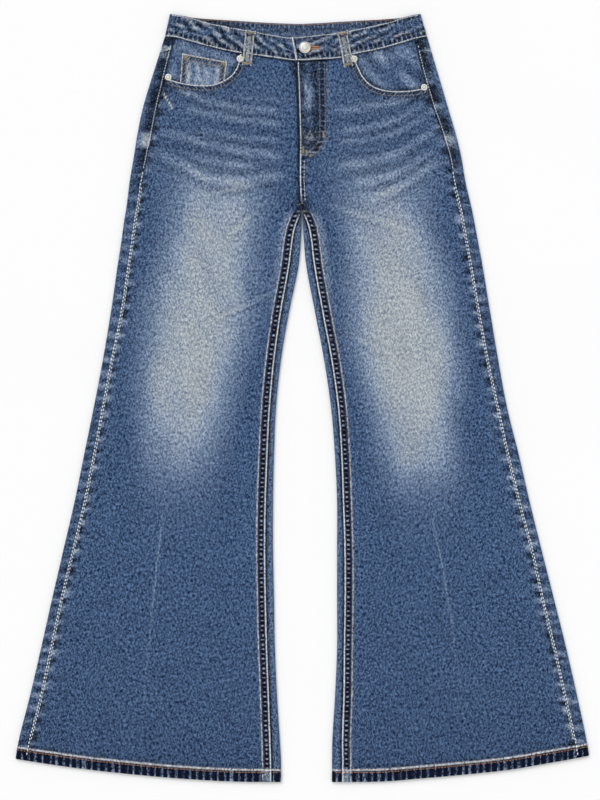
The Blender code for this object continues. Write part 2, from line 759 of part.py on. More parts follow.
def build_coin_pocket():
    """The small pocket on the right facing, whose lower end goes under the front panel."""
    (ax, ay), (bx, by) = COIN_MOUTH
    t = np.linspace(0, 1, COIN_STEPS)[None, :]
    down = np.linspace(0, 1, 4)[:, None]
    foot_x = COIN_FOOT[0] + (COIN_FOOT[1] - COIN_FOOT[0]) * t
    edge = np.array(RIGHT_POCKET)[:-1]
    foot_y = smooth(edge[:, 0], edge[:, 1], foot_x) - COIN_UNDER
    x = (ax + (bx - ax) * t) * (1 - down) + foot_x * down
    y = (ay + (by - ay) * t) * (1 - down) + foot_y * down
    under = FRONT_REST + FACING_CLOTH + LYING_GAP
    return cloth("coin_pocket", place(x, y, under + COIN_CLOTH), place(x, y, under))


def build_loop(side, ends):
    """A belt loop: a strap over the waistband, folded at its top and sewn to the front under the waist seam."""
    (top_x, top_y), (low_x, low_y) = ends
    t = np.linspace(0, 1, LOOP_STEPS)
    length = math.hypot(low_x - top_x, low_y - top_y)
    across = np.array([low_y - top_y, top_x - low_x]) / length
    head = 1 - ease((t - 0.1) / 0.03)
    width = LOOP_WIDTH + (LOOP_HEAD - LOOP_WIDTH) * head
    reach = np.array([[-0.5, 0.0, 0.5]]) * width[:, None]
    x = top_x + (low_x - top_x) * t[:, None] - across[0] * reach
    y = top_y + (low_y - top_y) * t[:, None] - across[1] * reach
    low_under = float(np.max(front_top(side, x[-4:], y[-4:]))) + LYING_GAP
    top_under = 2 * BAND_RADIUS + LYING_GAP
    bow = LOOP_BOW * np.sin(math.pi * t) ** 0.8
    under = top_under + (low_under - top_under) * ease((t - 0.5) / 0.45) + bow
    ends_share = np.maximum(head, ease((t - 0.88) / 0.03))
    thick = STRAP + (LOOP_END_CLOTH - STRAP) * ends_share
    return cloth(side + "_belt_loop", place(x, y, (under + thick)[:, None]), place(x, y, under[:, None]))


def build_button():
    """The waist button: a cap on a short neck, on the lapped end of the waistband."""
    x, y = BUTTON_AT
    foot = 2 * BAND_RADIUS + OVERLAP_LIFT + LYING_GAP
    r = BUTTON_RADIUS
    profile = [
        (0.0, 0.0), (3.4, 0.0), (3.2, 0.8), (r - 1.2, 0.9), (r - 0.2, 1.4),
        (r, 2.0), (r - 0.4, 2.7), (r - 1.5, 3.0), (r - 2.3, 2.75), (3.0, 2.9), (0.0, 3.2),
    ]
    return turned("button", profile, (x, y, foot), 28)


def build_rivet(side, name, x, y):
    """A rivet at a corner of a pocket opening, on the front panel."""
    around = np.linspace(0, 2 * math.pi, 13)
    near = RIVET_RADIUS * np.array([[0.4], [1.0]])
    foot = float(np.max(front_top(side, x + near * np.cos(around), y + near * np.sin(around)))) + LYING_GAP
    r = RIVET_RADIUS
    profile = [(0.0, 0.0), (r, 0.0), (r, 0.35), (r - 0.9, 0.85), (r - 2.0, 0.8), (2.0, 1.3), (0.0, 1.5)]
    return turned(f"rivet_{side}_{name}", profile, (x, y, foot), 16)


def clear_scene():
    for thing in list(bpy.data.objects):
        bpy.data.objects.remove(thing, do_unlink=True)


def main():
    clear_scene()
    for side in SIDES:
        build_front(side)
        build_back(side)
        build_yoke(side)
        build_facing(side)
    build_waistband()
    build_coin_pocket()
    build_loop("right", RIGHT_LOOP)
    build_loop("left", LEFT_LOOP)
    build_button()
    for side, name, x, y in RIVETS:
        build_rivet(side, name, x, y)


main()
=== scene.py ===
"""Flared jeans laid flat: worn denim, puckered seams, topstitching, a waist button and rivets.

X runs across the garment, Y from the hems to the waist and Z up from the surface. Sizes in the tables
are millimetres: "across" is X, "height" is the distance up from the lowest point of the hems. Right and
left are the wearer's, so the right leg lies on the -X side.
"""

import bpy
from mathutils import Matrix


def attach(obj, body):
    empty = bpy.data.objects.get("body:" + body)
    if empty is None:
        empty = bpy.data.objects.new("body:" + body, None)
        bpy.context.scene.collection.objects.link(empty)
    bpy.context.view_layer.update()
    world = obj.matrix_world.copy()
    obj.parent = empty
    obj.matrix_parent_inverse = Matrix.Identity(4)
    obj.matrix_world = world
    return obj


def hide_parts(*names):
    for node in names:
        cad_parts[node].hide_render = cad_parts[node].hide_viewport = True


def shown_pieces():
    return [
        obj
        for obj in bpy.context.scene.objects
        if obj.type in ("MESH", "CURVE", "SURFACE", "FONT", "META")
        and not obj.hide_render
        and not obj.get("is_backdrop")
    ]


bl_info = {
    "name": "Flared Jeans",
    "version": (1, 0, 0),
    "blender": (4, 5, 0),
    "location": "3D View > Sidebar > Jeans",
    "description": "Flared five-pocket jeans, laid flat and seen from the front",
    "category": "Add Mesh",
}

import math

import bmesh
import bpy
import numpy as np
from bpy.props import FloatProperty, FloatVectorProperty, PointerProperty
from bpy.types import Operator, Panel, PropertyGroup
from mathutils import Matrix, Vector
from mathutils.bvhtree import BVHTree

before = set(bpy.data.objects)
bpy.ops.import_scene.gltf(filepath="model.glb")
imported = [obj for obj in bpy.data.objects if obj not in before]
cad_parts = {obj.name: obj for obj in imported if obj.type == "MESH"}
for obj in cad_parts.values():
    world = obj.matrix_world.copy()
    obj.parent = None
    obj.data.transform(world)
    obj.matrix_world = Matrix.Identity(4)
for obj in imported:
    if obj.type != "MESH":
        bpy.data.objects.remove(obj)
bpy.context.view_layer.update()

MM = 0.001

# A distance that stands for far from an edge
FAR = 900.0

# Where the garment's middle lies in the tables
MID_ACROSS = -0.75
MID_HEIGHT = 548.4

# Cloth thicknesses and clearances
DENIM = 1.2
HEM_DENIM = 2.2
FACING_CLOTH = 1.0
COIN_CLOTH = 1.0
BAND = 2.2
STRAP = 1.4
SEAM_GAP = 0.4
WAIST_GAP = 0.6
YOKE_GAP = 0.6
FACING_GAP = 0.8
LAYER_GAP = 0.5
LYING_GAP = 0.35

# Turned edges of the legs and the waistband, as outer radii of the half round
EDGE_RADIUS = 2.0
HEM_RADIUS = 2.45
BAND_RADIUS = 2.45

# Front panels: how far they rise over what lies under them, and how far that rise reaches
FRONT_REST = DENIM + LAYER_GAP
SEAM_RISE = 2 * EDGE_RADIUS - DENIM - FRONT_REST
SEAM_REACH = 40.0
HEM_RISE = 2 * HEM_RADIUS - HEM_DENIM - FRONT_REST
HEM_DEPTH = 15.5
HEM_STEP = 2.0
HEM_FADE = 130.0
WAIST_RISE = 1.0
WAIST_REACH = 30.0
FACING_RISE = 1.5
COIN_RISE = 1.4
FLY_RISE = 1.5
FLY_WIDTH = 42.0
FLY_BOTTOM = 896.0
CROTCH_HEIGHT = 816.0
HIP_HEIGHT = 850.0

# Waistband
BAND_DEPTH = 33.0
OVERLAP_LIFT = BAND + LYING_GAP
UNDERLAP_END = 24.0
LIFT_START = 46.0
LIFT_END = 28.0

# Metal
BUTTON_RADIUS = 8.5
BUTTON_AT = (2.9, 1047.9)
RIVET_RADIUS = 4.6

# Legs, up from the hem: the leg's outer and inner edge, and how much of the back panel
# comes round each edge onto the upper face
LEG = ("height", "outer", "inner", "side_turn", "inseam_turn")
RIGHT_LEG = (
    (0.0, -415.0, -31.0, 16.5, 13.5),
    (35.0, -410.1, -31.5, 16.5, 13.5),
    (54.0, -407.0, -32.6, 16.6, 13.0),
    (122.0, -390.1, -36.9, 16.4, 11.0),
    (191.0, -374.0, -39.9, 15.0, 10.6),
    (260.0, -358.6, -41.2, 14.0, 11.0),
    (328.0, -342.9, -42.6, 14.5, 10.6),
    (397.0, -326.9, -42.6, 15.0, 9.8),
    (465.0, -313.0, -41.2, 14.8, 8.8),
    (534.0, -298.9, -38.3, 13.6, 8.2),
    (603.0, -285.7, -31.2, 13.5, 8.8),
    (671.0, -274.3, -19.7, 15.8, 10.8),
    (740.0, -264.3, -5.8, 16.2, 12.6),
    (774.0, -259.0, -2.8, 16.0, 11.2),
    (792.0, -256.6, -2.0, 16.0, 8.4),
    (806.0, -254.6, -1.6, 16.0, 3.6),
    (816.0, -252.8, -1.45, 16.2, 0.0),
    (860.0, -247.1, -1.4, 17.6, 0.0),
    (894.0, -241.4, -1.4, 19.0, 0.0),
    (929.0, -235.7, -1.4, 20.6, 0.0),
    (963.0, -228.5, -1.4, 20.0, 0.0),
    (997.0, -218.5, -1.4, 18.0, 0.0),
    (1035.0, -206.4, -1.4, 15.0, 0.0),
    (1065.0, -197.0, -1.4, 13.5, 0.0),
)
LEFT_LEG = (
    (0.0, 414.0, 41.5, 17.0, 14.0),
    (35.0, 409.3, 41.8, 17.2, 14.0),
    (54.0, 406.4, 42.0, 17.3, 13.4),
    (122.0, 392.1, 46.0, 17.4, 11.4),
    (191.0, 376.4, 48.9, 17.0, 9.2),
    (260.0, 359.2, 48.9, 16.4, 10.2),
    (328.0, 342.0, 48.9, 14.0, 10.0),
    (397.0, 324.9, 48.9, 15.0, 8.0),
    (465.0, 309.2, 46.0, 15.6, 8.4),
    (534.0, 292.0, 40.3, 13.4, 9.4),
    (603.0, 279.1, 30.3, 15.4, 9.8),
    (671.0, 267.7, 17.4, 16.4, 10.0),
    (740.0, 256.3, 4.6, 16.8, 10.6),
    (774.0, 250.0, 1.4, 16.6, 9.6),
    (792.0, 246.6, 0.1, 16.4, 7.6),
    (806.0, 244.0, -0.6, 16.2, 3.4),
    (816.0, 242.0, -0.85, 16.2, 0.0),
    (860.0, 231.9, -0.9, 16.6, 0.0),
    (894.0, 226.2, -0.9, 16.8, 0.0),
    (929.0, 217.6, -0.9, 18.6, 0.0),
    (963.0, 207.6, -0.9, 20.4, 0.0),
    (997.0, 197.6, -0.9, 20.8, 0.0),
    (1035.0, 186.2, -0.9, 19.4, 0.0),
    (1065.0, 177.6, -0.9, 17.0, 0.0),
)

# Hems, across each leg: how far the lower edge is above its lowest point
HEM = ("across", "rise")
RIGHT_HEM = (
    (-412.0, 33.4), (-368.6, 26.5), (-307.0, 17.9), (-225.7, 9.3), (-175.6, 5.0), (-97.0, 0.7),
    (-31.0, 0.0),
)
LEFT_HEM = (
    (41.8, 0.0), (111.8, 0.7), (167.6, 5.0), (217.6, 9.3), (297.7, 17.9), (347.8, 26.5),
    (393.5, 34.6), (411.0, 38.2),
)

# Centre line above the crotch: the back seam, the edge of the fly on the left front, and how
# far the right front runs on under that edge
CENTRE = ("height", "back_seam", "fly_edge", "tuck")
CENTRE_LINE = (
    (816.0, -1.15, -1.15, -0.4),
    (842.0, -1.6, -3.6, -0.4),
    (858.0, -2.0, -4.3, 3.0),
    (884.0, -2.7, -4.2, 8.5),
    (910.0, -3.5, -3.9, 10.0),
    (970.0, -4.8, -5.2, 10.0),
    (1030.0, -6.0, -7.6, 10.0),
    (1066.0, -6.6, -8.0, 10.0),
)

# Waist seam and top edge on the front, and top edge on the back
WAIST = ("across", "height")
FRONT_SEAM = (
    (-197.0, 1064.6), (-181.3, 1063.4), (-162.7, 1058.2), (-125.6, 1048.2), (-89.8, 1040.9),
    (-65.5, 1037.5), (-34.0, 1033.2), (-9.7, 1030.2), (21.7, 1031.2), (53.2, 1034.0),
    (74.6, 1039.4), (113.3, 1047.5), (140.4, 1055.2), (167.6, 1062.8), (177.6, 1064.6),
)
FRONT_TOP = (
    (-189.9, 1096.8), (-162.7, 1092.4), (-138.4, 1085.4), (-115.5, 1080.4), (-84.1, 1074.6),
    (-65.5, 1071.4), (-34.0, 1065.6), (-16.9, 1063.4), (13.2, 1065.8), (47.5, 1069.9),
    (66.0, 1073.2), (106.0, 1081.3), (124.7, 1085.9), (139.0, 1090.6), (159.0, 1095.6),
    (168.3, 1096.8),
)
BACK_TOP = (
    (-189.9, 1096.8), (-155.6, 1091.6), (-125.6, 1089.2), (-89.8, 1087.0), (-52.6, 1084.7),
    (-4.0, 1083.0), (21.7, 1084.0), (76.0, 1087.3), (113.3, 1089.2), (140.0, 1091.6),
    (168.3, 1096.8),
)

# Ends of the waistband's flat stretches, at the seam and at the top edge
RIGHT_CORNER = (-197.0, -189.9)
LEFT_CORNER = (177.6, 168.3)
OVERLAP_END = (-9.7, -16.2)

# The yoke's lower seam, at the side and in the middle of the back
YOKE_SIDE_HEIGHT = 1041.0
YOKE_CENTRE_HEIGHT = 979.0

# Front pocket openings, from the side seam to the waist seam
RIGHT_POCKET = (
    (-195.0, 1006.0), (-183.0, 1001.4), (-169.9, 998.1), (-144.1, 995.3), (-128.4, 996.3),
    (-117.0, 1000.3), (-105.5, 1006.7), (-97.0, 1016.0), (-92.0, 1027.5), (-89.8, 1040.0),
)
LEFT_POCKET = (
    (175.5, 991.9), (160.0, 988.8), (144.7, 987.4), (129.0, 987.4), (113.3, 989.5), (99.0, 995.3),
    (87.5, 1006.0), (79.7, 1020.3), (75.4, 1031.0), (73.6, 1038.6),
)
FACING_UNDER = 11.0
COIN_UNDER = 7.0

# Ends of the front panels' upper edges, at the fly
RIGHT_FLY_TOP = 1.6
LEFT_FLY_TOP = -7.9

# Coin pocket on the right facing: its corners at the mouth and where it goes under the front
COIN_MOUTH = ((-172.0, 1040.6), (-108.4, 1028.2))
COIN_FOOT = (-175.8, -113.2)
COIN_WIDTH = 63.0
COIN_DEPTH = 41.0

# Belt loops: the middle of the top and of the lower end, and the strap's width
RIGHT_LOOP = ((-74.8, 1073.0), (-80.2, 1022.6))
LEFT_LOOP = ((56.1, 1072.0), (65.4, 1021.2))
LOOP_WIDTH = 13.5
LOOP_HEAD = 15.5
LOOP_BOW = 1.5
LOOP_END_CLOTH = 2.2

# Creases across the hips, worn into ridges: the ridge's inner end, middle and outer end
CREASE = ("inner_x", "inner_h", "middle_x", "middle_h", "outer_x", "outer_h", "width", "rise")
RIGHT_CREASES = (
    (-34.0, 957.0, -126.0, 969.0, -183.0, 994.0, 9.0, 0.9),
    (-30.0, 939.0, -88.0, 946.0, -168.0, 962.0, 9.0, 0.8),
    (-34.0, 917.0, -80.0, 919.0, -154.0, 930.0, 8.0, 0.5),
    (-32.0, 893.0, -120.0, 908.0, -204.0, 930.0, 10.0, 1.0),
    (-70.0, 879.0, -110.0, 884.0, -150.0, 893.0, 8.0, 0.5),
    (-26.0, 867.0, -118.0, 858.0, -206.0, 899.0, 11.0, 1.0),
)
LEFT_CREASES = (
    (44.0, 957.0, 106.0, 966.0, 170.0, 984.0, 9.0, 0.6),
    (50.0, 929.0, 128.0, 943.0, 168.0, 966.0, 9.0, 0.8),
    (50.0, 913.0, 120.0, 924.0, 174.0, 948.0, 8.0, 0.6),
    (50.0, 878.0, 130.0, 896.0, 188.0, 930.0, 10.0, 1.0),
    (74.0, 856.0, 126.0, 866.0, 184.0, 898.0, 9.0, 0.7),
    (94.0, 829.0, 140.0, 852.0, 194.0, 886.0, 11.0, 0.9),
)

# Fainter creases that only the wear shows, in the same columns
RIGHT_FAINT = (
    (-30.0, 975.0, -62.0, 975.5, -94.0, 977.0, 4.0, 0.45),
    (-60.0, 853.0, -100.0, 846.0, -142.0, 838.0, 5.0, 0.4),
    (-44.0, 698.0, -88.0, 678.0, -136.0, 655.0, 5.0, 0.5),
    (-61.0, 821.0, -84.0, 800.0, -108.0, 779.0, 8.0, 0.4),
)
LEFT_FAINT = (
    (72.0, 972.0, 120.0, 966.0, 160.0, 979.0, 4.0, 0.45),
    (35.0, 824.0, 96.0, 806.0, 158.0, 785.0, 7.0, 0.35),
    (72.0, 636.0, 100.0, 624.0, 130.0, 607.0, 6.0, 0.5),
    (14.0, 800.0, 24.0, 779.0, 36.0, 758.0, 4.0, 0.5),
    (43.0, 717.0, 53.0, 708.0, 64.0, 699.0, 4.0, 0.35),
)

# Pressed creases down the middle of the lower legs: height and across
RIGHT_PRESS = ((60.0, -229.6), (145.0, -224.2), (257.0, -213.8), (403.0, -197.8))
LEFT_PRESS = ((60.0, 231.0), (139.0, 224.8), (221.0, 213.3), (302.0, 200.5), (378.0, 184.8))

# The faded front of each thigh: its middle, its half width and how far the blue is gone
FADE = ("height", "middle", "half_width", "strength")
RIGHT_FADE = (
    (330.0, -184.0, 46.0, 0.0),
    (402.0, -179.0, 46.0, 0.08),
    (431.0, -177.0, 46.0, 0.22),
    (460.0, -175.6, 46.0, 0.44),
    (517.0, -170.0, 52.0, 0.74),
    (574.0, -165.6, 56.0, 0.95),
    (631.0, -153.6, 59.0, 0.96),
    (688.0, -146.0, 63.0, 0.86),
    (746.0, -136.0, 58.0, 0.84),
    (789.0, -128.0, 55.0, 0.82),
    (831.0, -123.0, 58.0, 0.62),
    (865.0, -124.0, 62.0, 0.34),
    (903.0, -118.0, 80.0, 0.08),
    (975.0, -108.0, 90.0, 0.05),
    (1020.0, -60.0, 80.0, 0.0),
)
LEFT_FADE = (
    (330.0, 178.0, 48.0, 0.0),
    (402.0, 171.0, 48.0, 0.12),
    (431.0, 168.0, 47.0, 0.34),
    (460.0, 165.0, 46.0, 0.64),
    (517.0, 159.4, 48.0, 0.88),
    (574.0, 154.7, 55.0, 1.14),
    (631.0, 145.6, 60.0, 1.12),
    (688.0, 138.7, 58.0, 1.02),
    (746.0, 131.5, 56.0, 0.87),
    (789.0, 124.0, 53.0, 0.78),
    (831.0, 115.0, 55.0, 0.52),
    (865.0, 118.0, 62.0, 0.3),
    (903.0, 122.0, 80.0, 0.08),
    (975.0, 112.0, 90.0, 0.05),
    (1020.0, 90.0, 80.0, 0.0),
)

# Rivets at the ends of the pocket openings
RIVETS = (
    ("right", "waist", -89.8, 1032.6),
    ("right", "side", -192.0, 1006.2),
    ("left", "waist", 73.6, 1032.6),
    ("left", "side", 173.4, 991.9),
)

# Places of the rows and columns near an edge, where stitching, wear and painted shading need them close
SEAM_PLACES = (0.0, 0.7, 1.4, 2.2, 3.2, 4.6, 6.4, 8.4, 10.0, 11.0, 11.8, 12.6, 13.6, 15.4, 18.0, 21.0)
HEM_PLACES = (
    0.0, 0.8, 1.8, 3.2, 5.0, 7.0, 9.0, 11.0, 12.6, 13.6, 14.6, 15.5, 16.2, 17.0, 17.8, 18.8, 20.5, 23.0,
    26.0,
)
TOP_PLACES = (0.0, 0.7, 1.4, 2.2, 3.2, 4.4, 6.0, 7.6, 9.2, 11.0, 13.2)
BAND_PLACES = (
    0.0, 0.8, 1.7, 2.8, 4.2, 6.0, 8.4, 11.4, 14.6, 18.0, 21.4, 24.4, 27.0, 28.9, 30.4, 31.5, 32.3, 33.0,
)
ROW_STEP = 3.5
MIDDLE_COLUMNS = 84
HIP_ROWS = 46
BACK_HIP_ROWS = 44
BACK_BAND_COLUMNS = 12
TURN_STEPS = 13
FLAT_STEPS = 18
FLAT_TAIL = 3.6
YOKE_ROWS = 20
BAND_FRONT_STEPS = 170
BAND_BACK_STEPS = 120
FACING_ROWS = 34
FACING_COLUMNS = 48
COIN_COLUMNS = 40
COIN_ROWS = 28
LOOP_STEPS = 48

# Seams: how deep the puckers are, about how far apart, and how wide the felled inseam is
SIDE_PUCKER = 21.0
INSEAM_PUCKER = 6.8
HEM_PUCKER = 10.0
BAND_PUCKER = 7.0
POCKET_PUCKER = 5.6
PUCKER_DEPTH = 0.45
FELL_WIDTH = 11.2
FELL_RISE = 0.5
FLY_STITCH = 28.5

# Folded edges of cloth: how far they drop away, and how far in from the edge that starts
LIP_DROP = 0.42
LIP_REACH = 1.6

# Grain of the denim, for each metre of cloth: across a yarn and along it
YARNS = 990.0
YARN_RUNS = 190.0

# Stitches, in metres: the most that the cloth differs in height under a stitch's two ends, how far
# off the rays that find the cloth start, and the thickness of the buttonhole's thread
STITCH_STEP = 0.0016
RAY_START = 0.03
BUTTONHOLE_THREAD = 0.001

# Edges between faces that meet at more than these angles stay sharp
SHARP_CLOTH = math.radians(50)
SHARP_METAL = math.radians(60)

# Stage, in metres: half the floor's width, how far it lies under the jeans, and the camera's X and Y
FLOOR_SIZE = 6.0
FLOOR_DROP = 0.0004
CAMERA_AT = (-0.00325, -0.0029)

# The stitched line that curves from the waist seam to the fly's foot
FLY_CURVE = ((30.6, 1029.0), (31.4, 985.0), (31.8, 930.0), (29.4, 913.0), (21.0, 900.0), (9.0, 891.5))
FLY_ROW_GAP = 7.6

SIDES = {
    "right": {
        "inward": 1.0,
        "leg": RIGHT_LEG,
        "hem": RIGHT_HEM,
        "pocket": RIGHT_POCKET,
        "fly_top": RIGHT_FLY_TOP,
        "creases": RIGHT_CREASES,
        "faint": RIGHT_FAINT,
        "press": RIGHT_PRESS,
        "fade": RIGHT_FADE,
        "seed": 11,
    },
    "left": {
        "inward": -1.0,
        "leg": LEFT_LEG,
        "hem": LEFT_HEM,
        "pocket": LEFT_POCKET,
        "fly_top": LEFT_FLY_TOP,
        "creases": LEFT_CREASES,
        "faint": LEFT_FAINT,
        "press": LEFT_PRESS,
        "fade": LEFT_FADE,
        "seed": 37,
    },
}

# Channels of the wear and painted shading that each cloth piece carries: how worn, how dark (mostly painted
# shade) and how pale (worn edges and painted highlight), and the most that one goes up to
WORN, SHADE_AND_DARK, PALE_AND_HIGHLIGHT = range(3)
WEAR_AND_SHADING_LIMIT = 1.7

# Channels of a seam that draws the cloth up: how much, where along the seam, and how light
AMOUNT, CYCLES, LIGHT = range(3)


def shade(red, green, blue):
    """A colour given as 0 to 255 on screen, as Blender's own linear one."""
    return tuple(((v / 255 + 0.055) / 1.055) ** 2.4 if v > 10 else v / 3294.6 for v in (red, green, blue))


def colour_setting(name, description, default):
    return FloatVectorProperty(
        name=name, description=description, default=default, subtype="COLOR", size=3, min=0.0, max=1.0
    )


class DenimSettings(PropertyGroup):
    """Colours of the denim and how worn it is."""

    blue: colour_setting("Blue", "The denim where it is least worn", shade(29, 60, 99))
    blue_low: colour_setting("Blue, low yarns", "Its darkest yarns", shade(2, 24, 62))
    blue_high: colour_setting("Blue, high yarns", "Its lightest yarns", shade(106, 135, 175))
    washed: colour_setting("Washed", "The denim where it is half worn", shade(114, 138, 171))
    washed_low: colour_setting("Washed, low yarns", "Its darkest yarns", shade(70, 95, 132))
    washed_high: colour_setting("Washed, high yarns", "Its lightest yarns", shade(174, 191, 214))
    faded: colour_setting("Faded", "The denim where the blue is worn away", shade(168, 177, 184))
    faded_low: colour_setting("Faded, low yarns", "Its darkest yarns", shade(124, 137, 152))
    faded_high: colour_setting("Faded, high yarns", "Its lightest yarns", shade(212, 218, 221))
    shadow: colour_setting("Pucker", "The dark hollows of the puckered seams", shade(22, 40, 76))
    shadow_low: colour_setting("Pucker, low yarns", "Its darkest yarns", shade(6, 14, 36))
    shadow_high: colour_setting("Pucker, high yarns", "Its lightest yarns", shade(62, 82, 116))
    tick: colour_setting("Seam ticks", "Light ticks between the hollows", shade(158, 174, 200))
    # Edge colour: worn-through edges and scratches, and painted highlight along raised seam edges
    edge: colour_setting("Edge", "Worn-through edges and scratches", shade(236, 237, 240))
    # Gap colour: painted shadow, the near-black of a deep gap under an edge
    gap: colour_setting("Gap", "The deep gap under an edge", shade(7, 9, 16))
    twill: FloatProperty(
        name="Twill",
        description="Distance between the lines of the twill",
        default=0.0009,
        min=0.0004,
        max=0.004,
        unit="LENGTH",
        precision=4,
    )
    sheen: FloatProperty(
        name="Nap", description="Soft shine of the nap", default=0.02, min=0.0, max=1.0, subtype="FACTOR"
    )


class ThreadSettings(PropertyGroup):
    """Colours and sizes of the topstitching."""

    cream: colour_setting("Cream", "Thread of the side seams, fly and waistband", shade(247, 253, 255))
    khaki: colour_setting("Khaki", "Thread of the pockets and the belt loops", shade(150, 138, 112))
    orange: colour_setting("Orange", "Thread of the hems and the buttonhole", shade(184, 130, 74))
    brown: colour_setting("Brown", "Dark thread of the inseams and the fly", shade(76, 52, 50))
    length: FloatProperty(
        name="Stitch", description="Its length", default=0.0029, min=0.001, max=0.01, unit="LENGTH"
    )
    gap: FloatProperty(
        name="Gap", description="From one to the next", default=0.0015, min=0.0, max=0.01, unit="LENGTH"
    )
    thickness: FloatProperty(
        name="Thread", description="Its thickness", default=0.0011, min=0.0003, max=0.003, unit="LENGTH"
    )


class MetalSettings(PropertyGroup):
    """The button and the rivets."""

    nickel: colour_setting("Nickel", "The plated metal", shade(236, 236, 228))
    # Tarnish colour: real tarnish in the hollows, and painted shade round the button's outer rim
    tarnish_and_shade: colour_setting("Tarnish", "Darker metal in the hollows", shade(120, 116, 106))
    roughness: FloatProperty(
        name="Roughness", description="How dull it is", default=0.34, min=0.05, max=1.0, subtype="FACTOR"
    )


class StageSettings(PropertyGroup):
    """The floor, the light and the camera."""

    floor: colour_setting("Floor", "The floor under the jeans", (0.985, 0.985, 0.985))
    sky: FloatProperty(name="Sky", description="Strength of the light all round", default=0.74, min=0.0)
    sun: FloatProperty(name="Window", description="Strength of the side light", default=1.16, min=0.0)
    view_height: FloatProperty(
        name="View", description="Height of what the camera sees", default=1.144, min=0.1, unit="LENGTH"
    )
    lens: FloatProperty(
        name="Lens", description="Focal length in millimetres", default=85.0, min=20.0, max=300.0
    )


def denim_settings():
    return bpy.context.scene.jeans_denim


def thread_settings():
    return bpy.context.scene.jeans_thread


def metal_settings():
    return bpy.context.scene.jeans_metal


def stage_settings():
    return bpy.context.scene.jeans_stage


# Curves and edges of the garment


def ease(t):
    """Soft step from 0 to 1 as t goes from 0 to 1."""
    t = np.clip(t, 0.0, 1.0)
    return t * t * (3.0 - 2.0 * t)


def bell(off, width):
    """1 on a line, fading out over its width to both sides."""
    return np.exp(-((off / width) ** 2))


def plateau(off, width):
    """1 on and near a line, falling off quickly at its width to both sides."""
    return np.exp(-((off / width) ** 4))


def part(value):
    """A value kept between 0 and 1."""
    return np.clip(value, 0, 1)


def smooth(xs, ys, x):
    """Smooth curve through the points (xs, ys), read at x, and straight past its ends."""
    xs = np.asarray(xs, float)
    ys = np.asarray(ys, float)
    x = np.asarray(x, float)
    steps = np.diff(ys) / np.diff(xs)
    slopes = np.concatenate((steps[:1], (steps[1:] + steps[:-1]) / 2, steps[-1:]))
    i = np.clip(np.searchsorted(xs, x) - 1, 0, len(xs) - 2)
    span = xs[i + 1] - xs[i]
    t = np.clip((x - xs[i]) / span, 0.0, 1.0)
    start = (1 + 2 * t) * (1 - t) ** 2 * ys[i] + t * (1 - t) ** 2 * span * slopes[i]
    end = t * t * (3 - 2 * t) * ys[i + 1] + t * t * (t - 1) * span * slopes[i + 1]
    past = (x - np.clip(x, xs[0], xs[-1])) * np.where(x < xs[0], slopes[0], slopes[-1])
    return start + end + past


def column(table, names, name, at):
    """A named column of a table, read at a place along its first column."""
    rows = np.array(table)
    return smooth(rows[:, 0], rows[:, names.index(name)], at)


def leg(side, name, height):
    return column(SIDES[side]["leg"], LEG, name, height)


def centre(name, height):
    return column(CENTRE_LINE, CENTRE, name, height)


def waist(edge, across):
    return column(edge, WAIST, "height", across)


def hem(side, across):
    return column(SIDES[side]["hem"], HEM, "rise", across)


def back_seam(across):
    """The back's waist seam: a band's depth below the top edge, level with the front's at the sides."""
    lean = ease((across - RIGHT_CORNER[0]) / 60) * ease((LEFT_CORNER[0] - across) / 60)
    return waist(BACK_TOP, across) * lean + waist(FRONT_TOP, across) * (1 - lean) - BAND_DEPTH


def hem_rise(side, across, height):
    """How far a row is moved up, so that the rows near the hem run along it."""
    return hem(side, across) * (1 - ease((height - HEM_DEPTH - HEM_STEP) / HEM_FADE))


def side_edge(side, height):
    """The front panel's edge at the side seam."""
    turn = leg(side, "side_turn", height) + SEAM_GAP
    return leg(side, "outer", height) + SIDES[side]["inward"] * turn


def inner_edge(side, height):
    """The front panel's edge at the inseam, and above the crotch at the fly."""
    turn = leg(side, "inseam_turn", height) + SEAM_GAP
    inseam = leg(side, "inner", height) - SIDES[side]["inward"] * turn
    fly = centre("fly_edge", height)
    if side == "right":
        fly = fly + centre("tuck", height)
    above = ease((height - CROTCH_HEIGHT + 4) / 6)
    return inseam * (1 - above) + fly * above


def back_edge(side, height):
    """The back panel's inner edge: the leg's, and above the crotch the seam down the back."""
    seam = centre("back_seam", height) - SIDES[side]["inward"] * SEAM_GAP / 2
    above = ease((height - CROTCH_HEIGHT + 4) / 6)
    return leg(side, "inner", height) * (1 - above) + seam * above


def distance(points, x, y):
    """Distance from each place (x, y) to a line through some points."""
    best = np.full(np.shape(x), np.inf)
    for (ax, ay), (bx, by) in zip(points[:-1], points[1:]):
        length = (bx - ax) ** 2 + (by - ay) ** 2
        t = part(((x - ax) * (bx - ax) + (y - ay) * (by - ay)) / length)
        best = np.minimum(best, np.hypot(x - ax - t * (bx - ax), y - ay - t * (by - ay)))
    return best


def beside(points, offset):
    """A line through some points moved sideways by a distance."""
    points = np.array(points)
    along = np.gradient(points, axis=0)
    along /= np.hypot(along[:, 0], along[:, 1])[:, None]
    return points + np.stack((along[:, 1], -along[:, 0]), axis=1) * offset


def arc_length(points):
    """Distance along a line from its first point to each of its points."""
    steps = np.linalg.norm(np.diff(points, axis=0), axis=1)
    return np.concatenate(([0.0], np.cumsum(steps)))


def rounded(points, count):
    """A smooth line through some points, as many evenly placed points as asked."""
    points = np.array(points, float)
    at = arc_length(points)
    fine = np.linspace(0, at[-1], 20 * count)
    line = np.stack([smooth(at, points[:, i], fine) for i in range(2)], axis=1)
    along = arc_length(line)
    even = np.linspace(0, along[-1], count)
    return np.stack([np.interp(even, along, line[:, i]) for i in range(2)], axis=1)


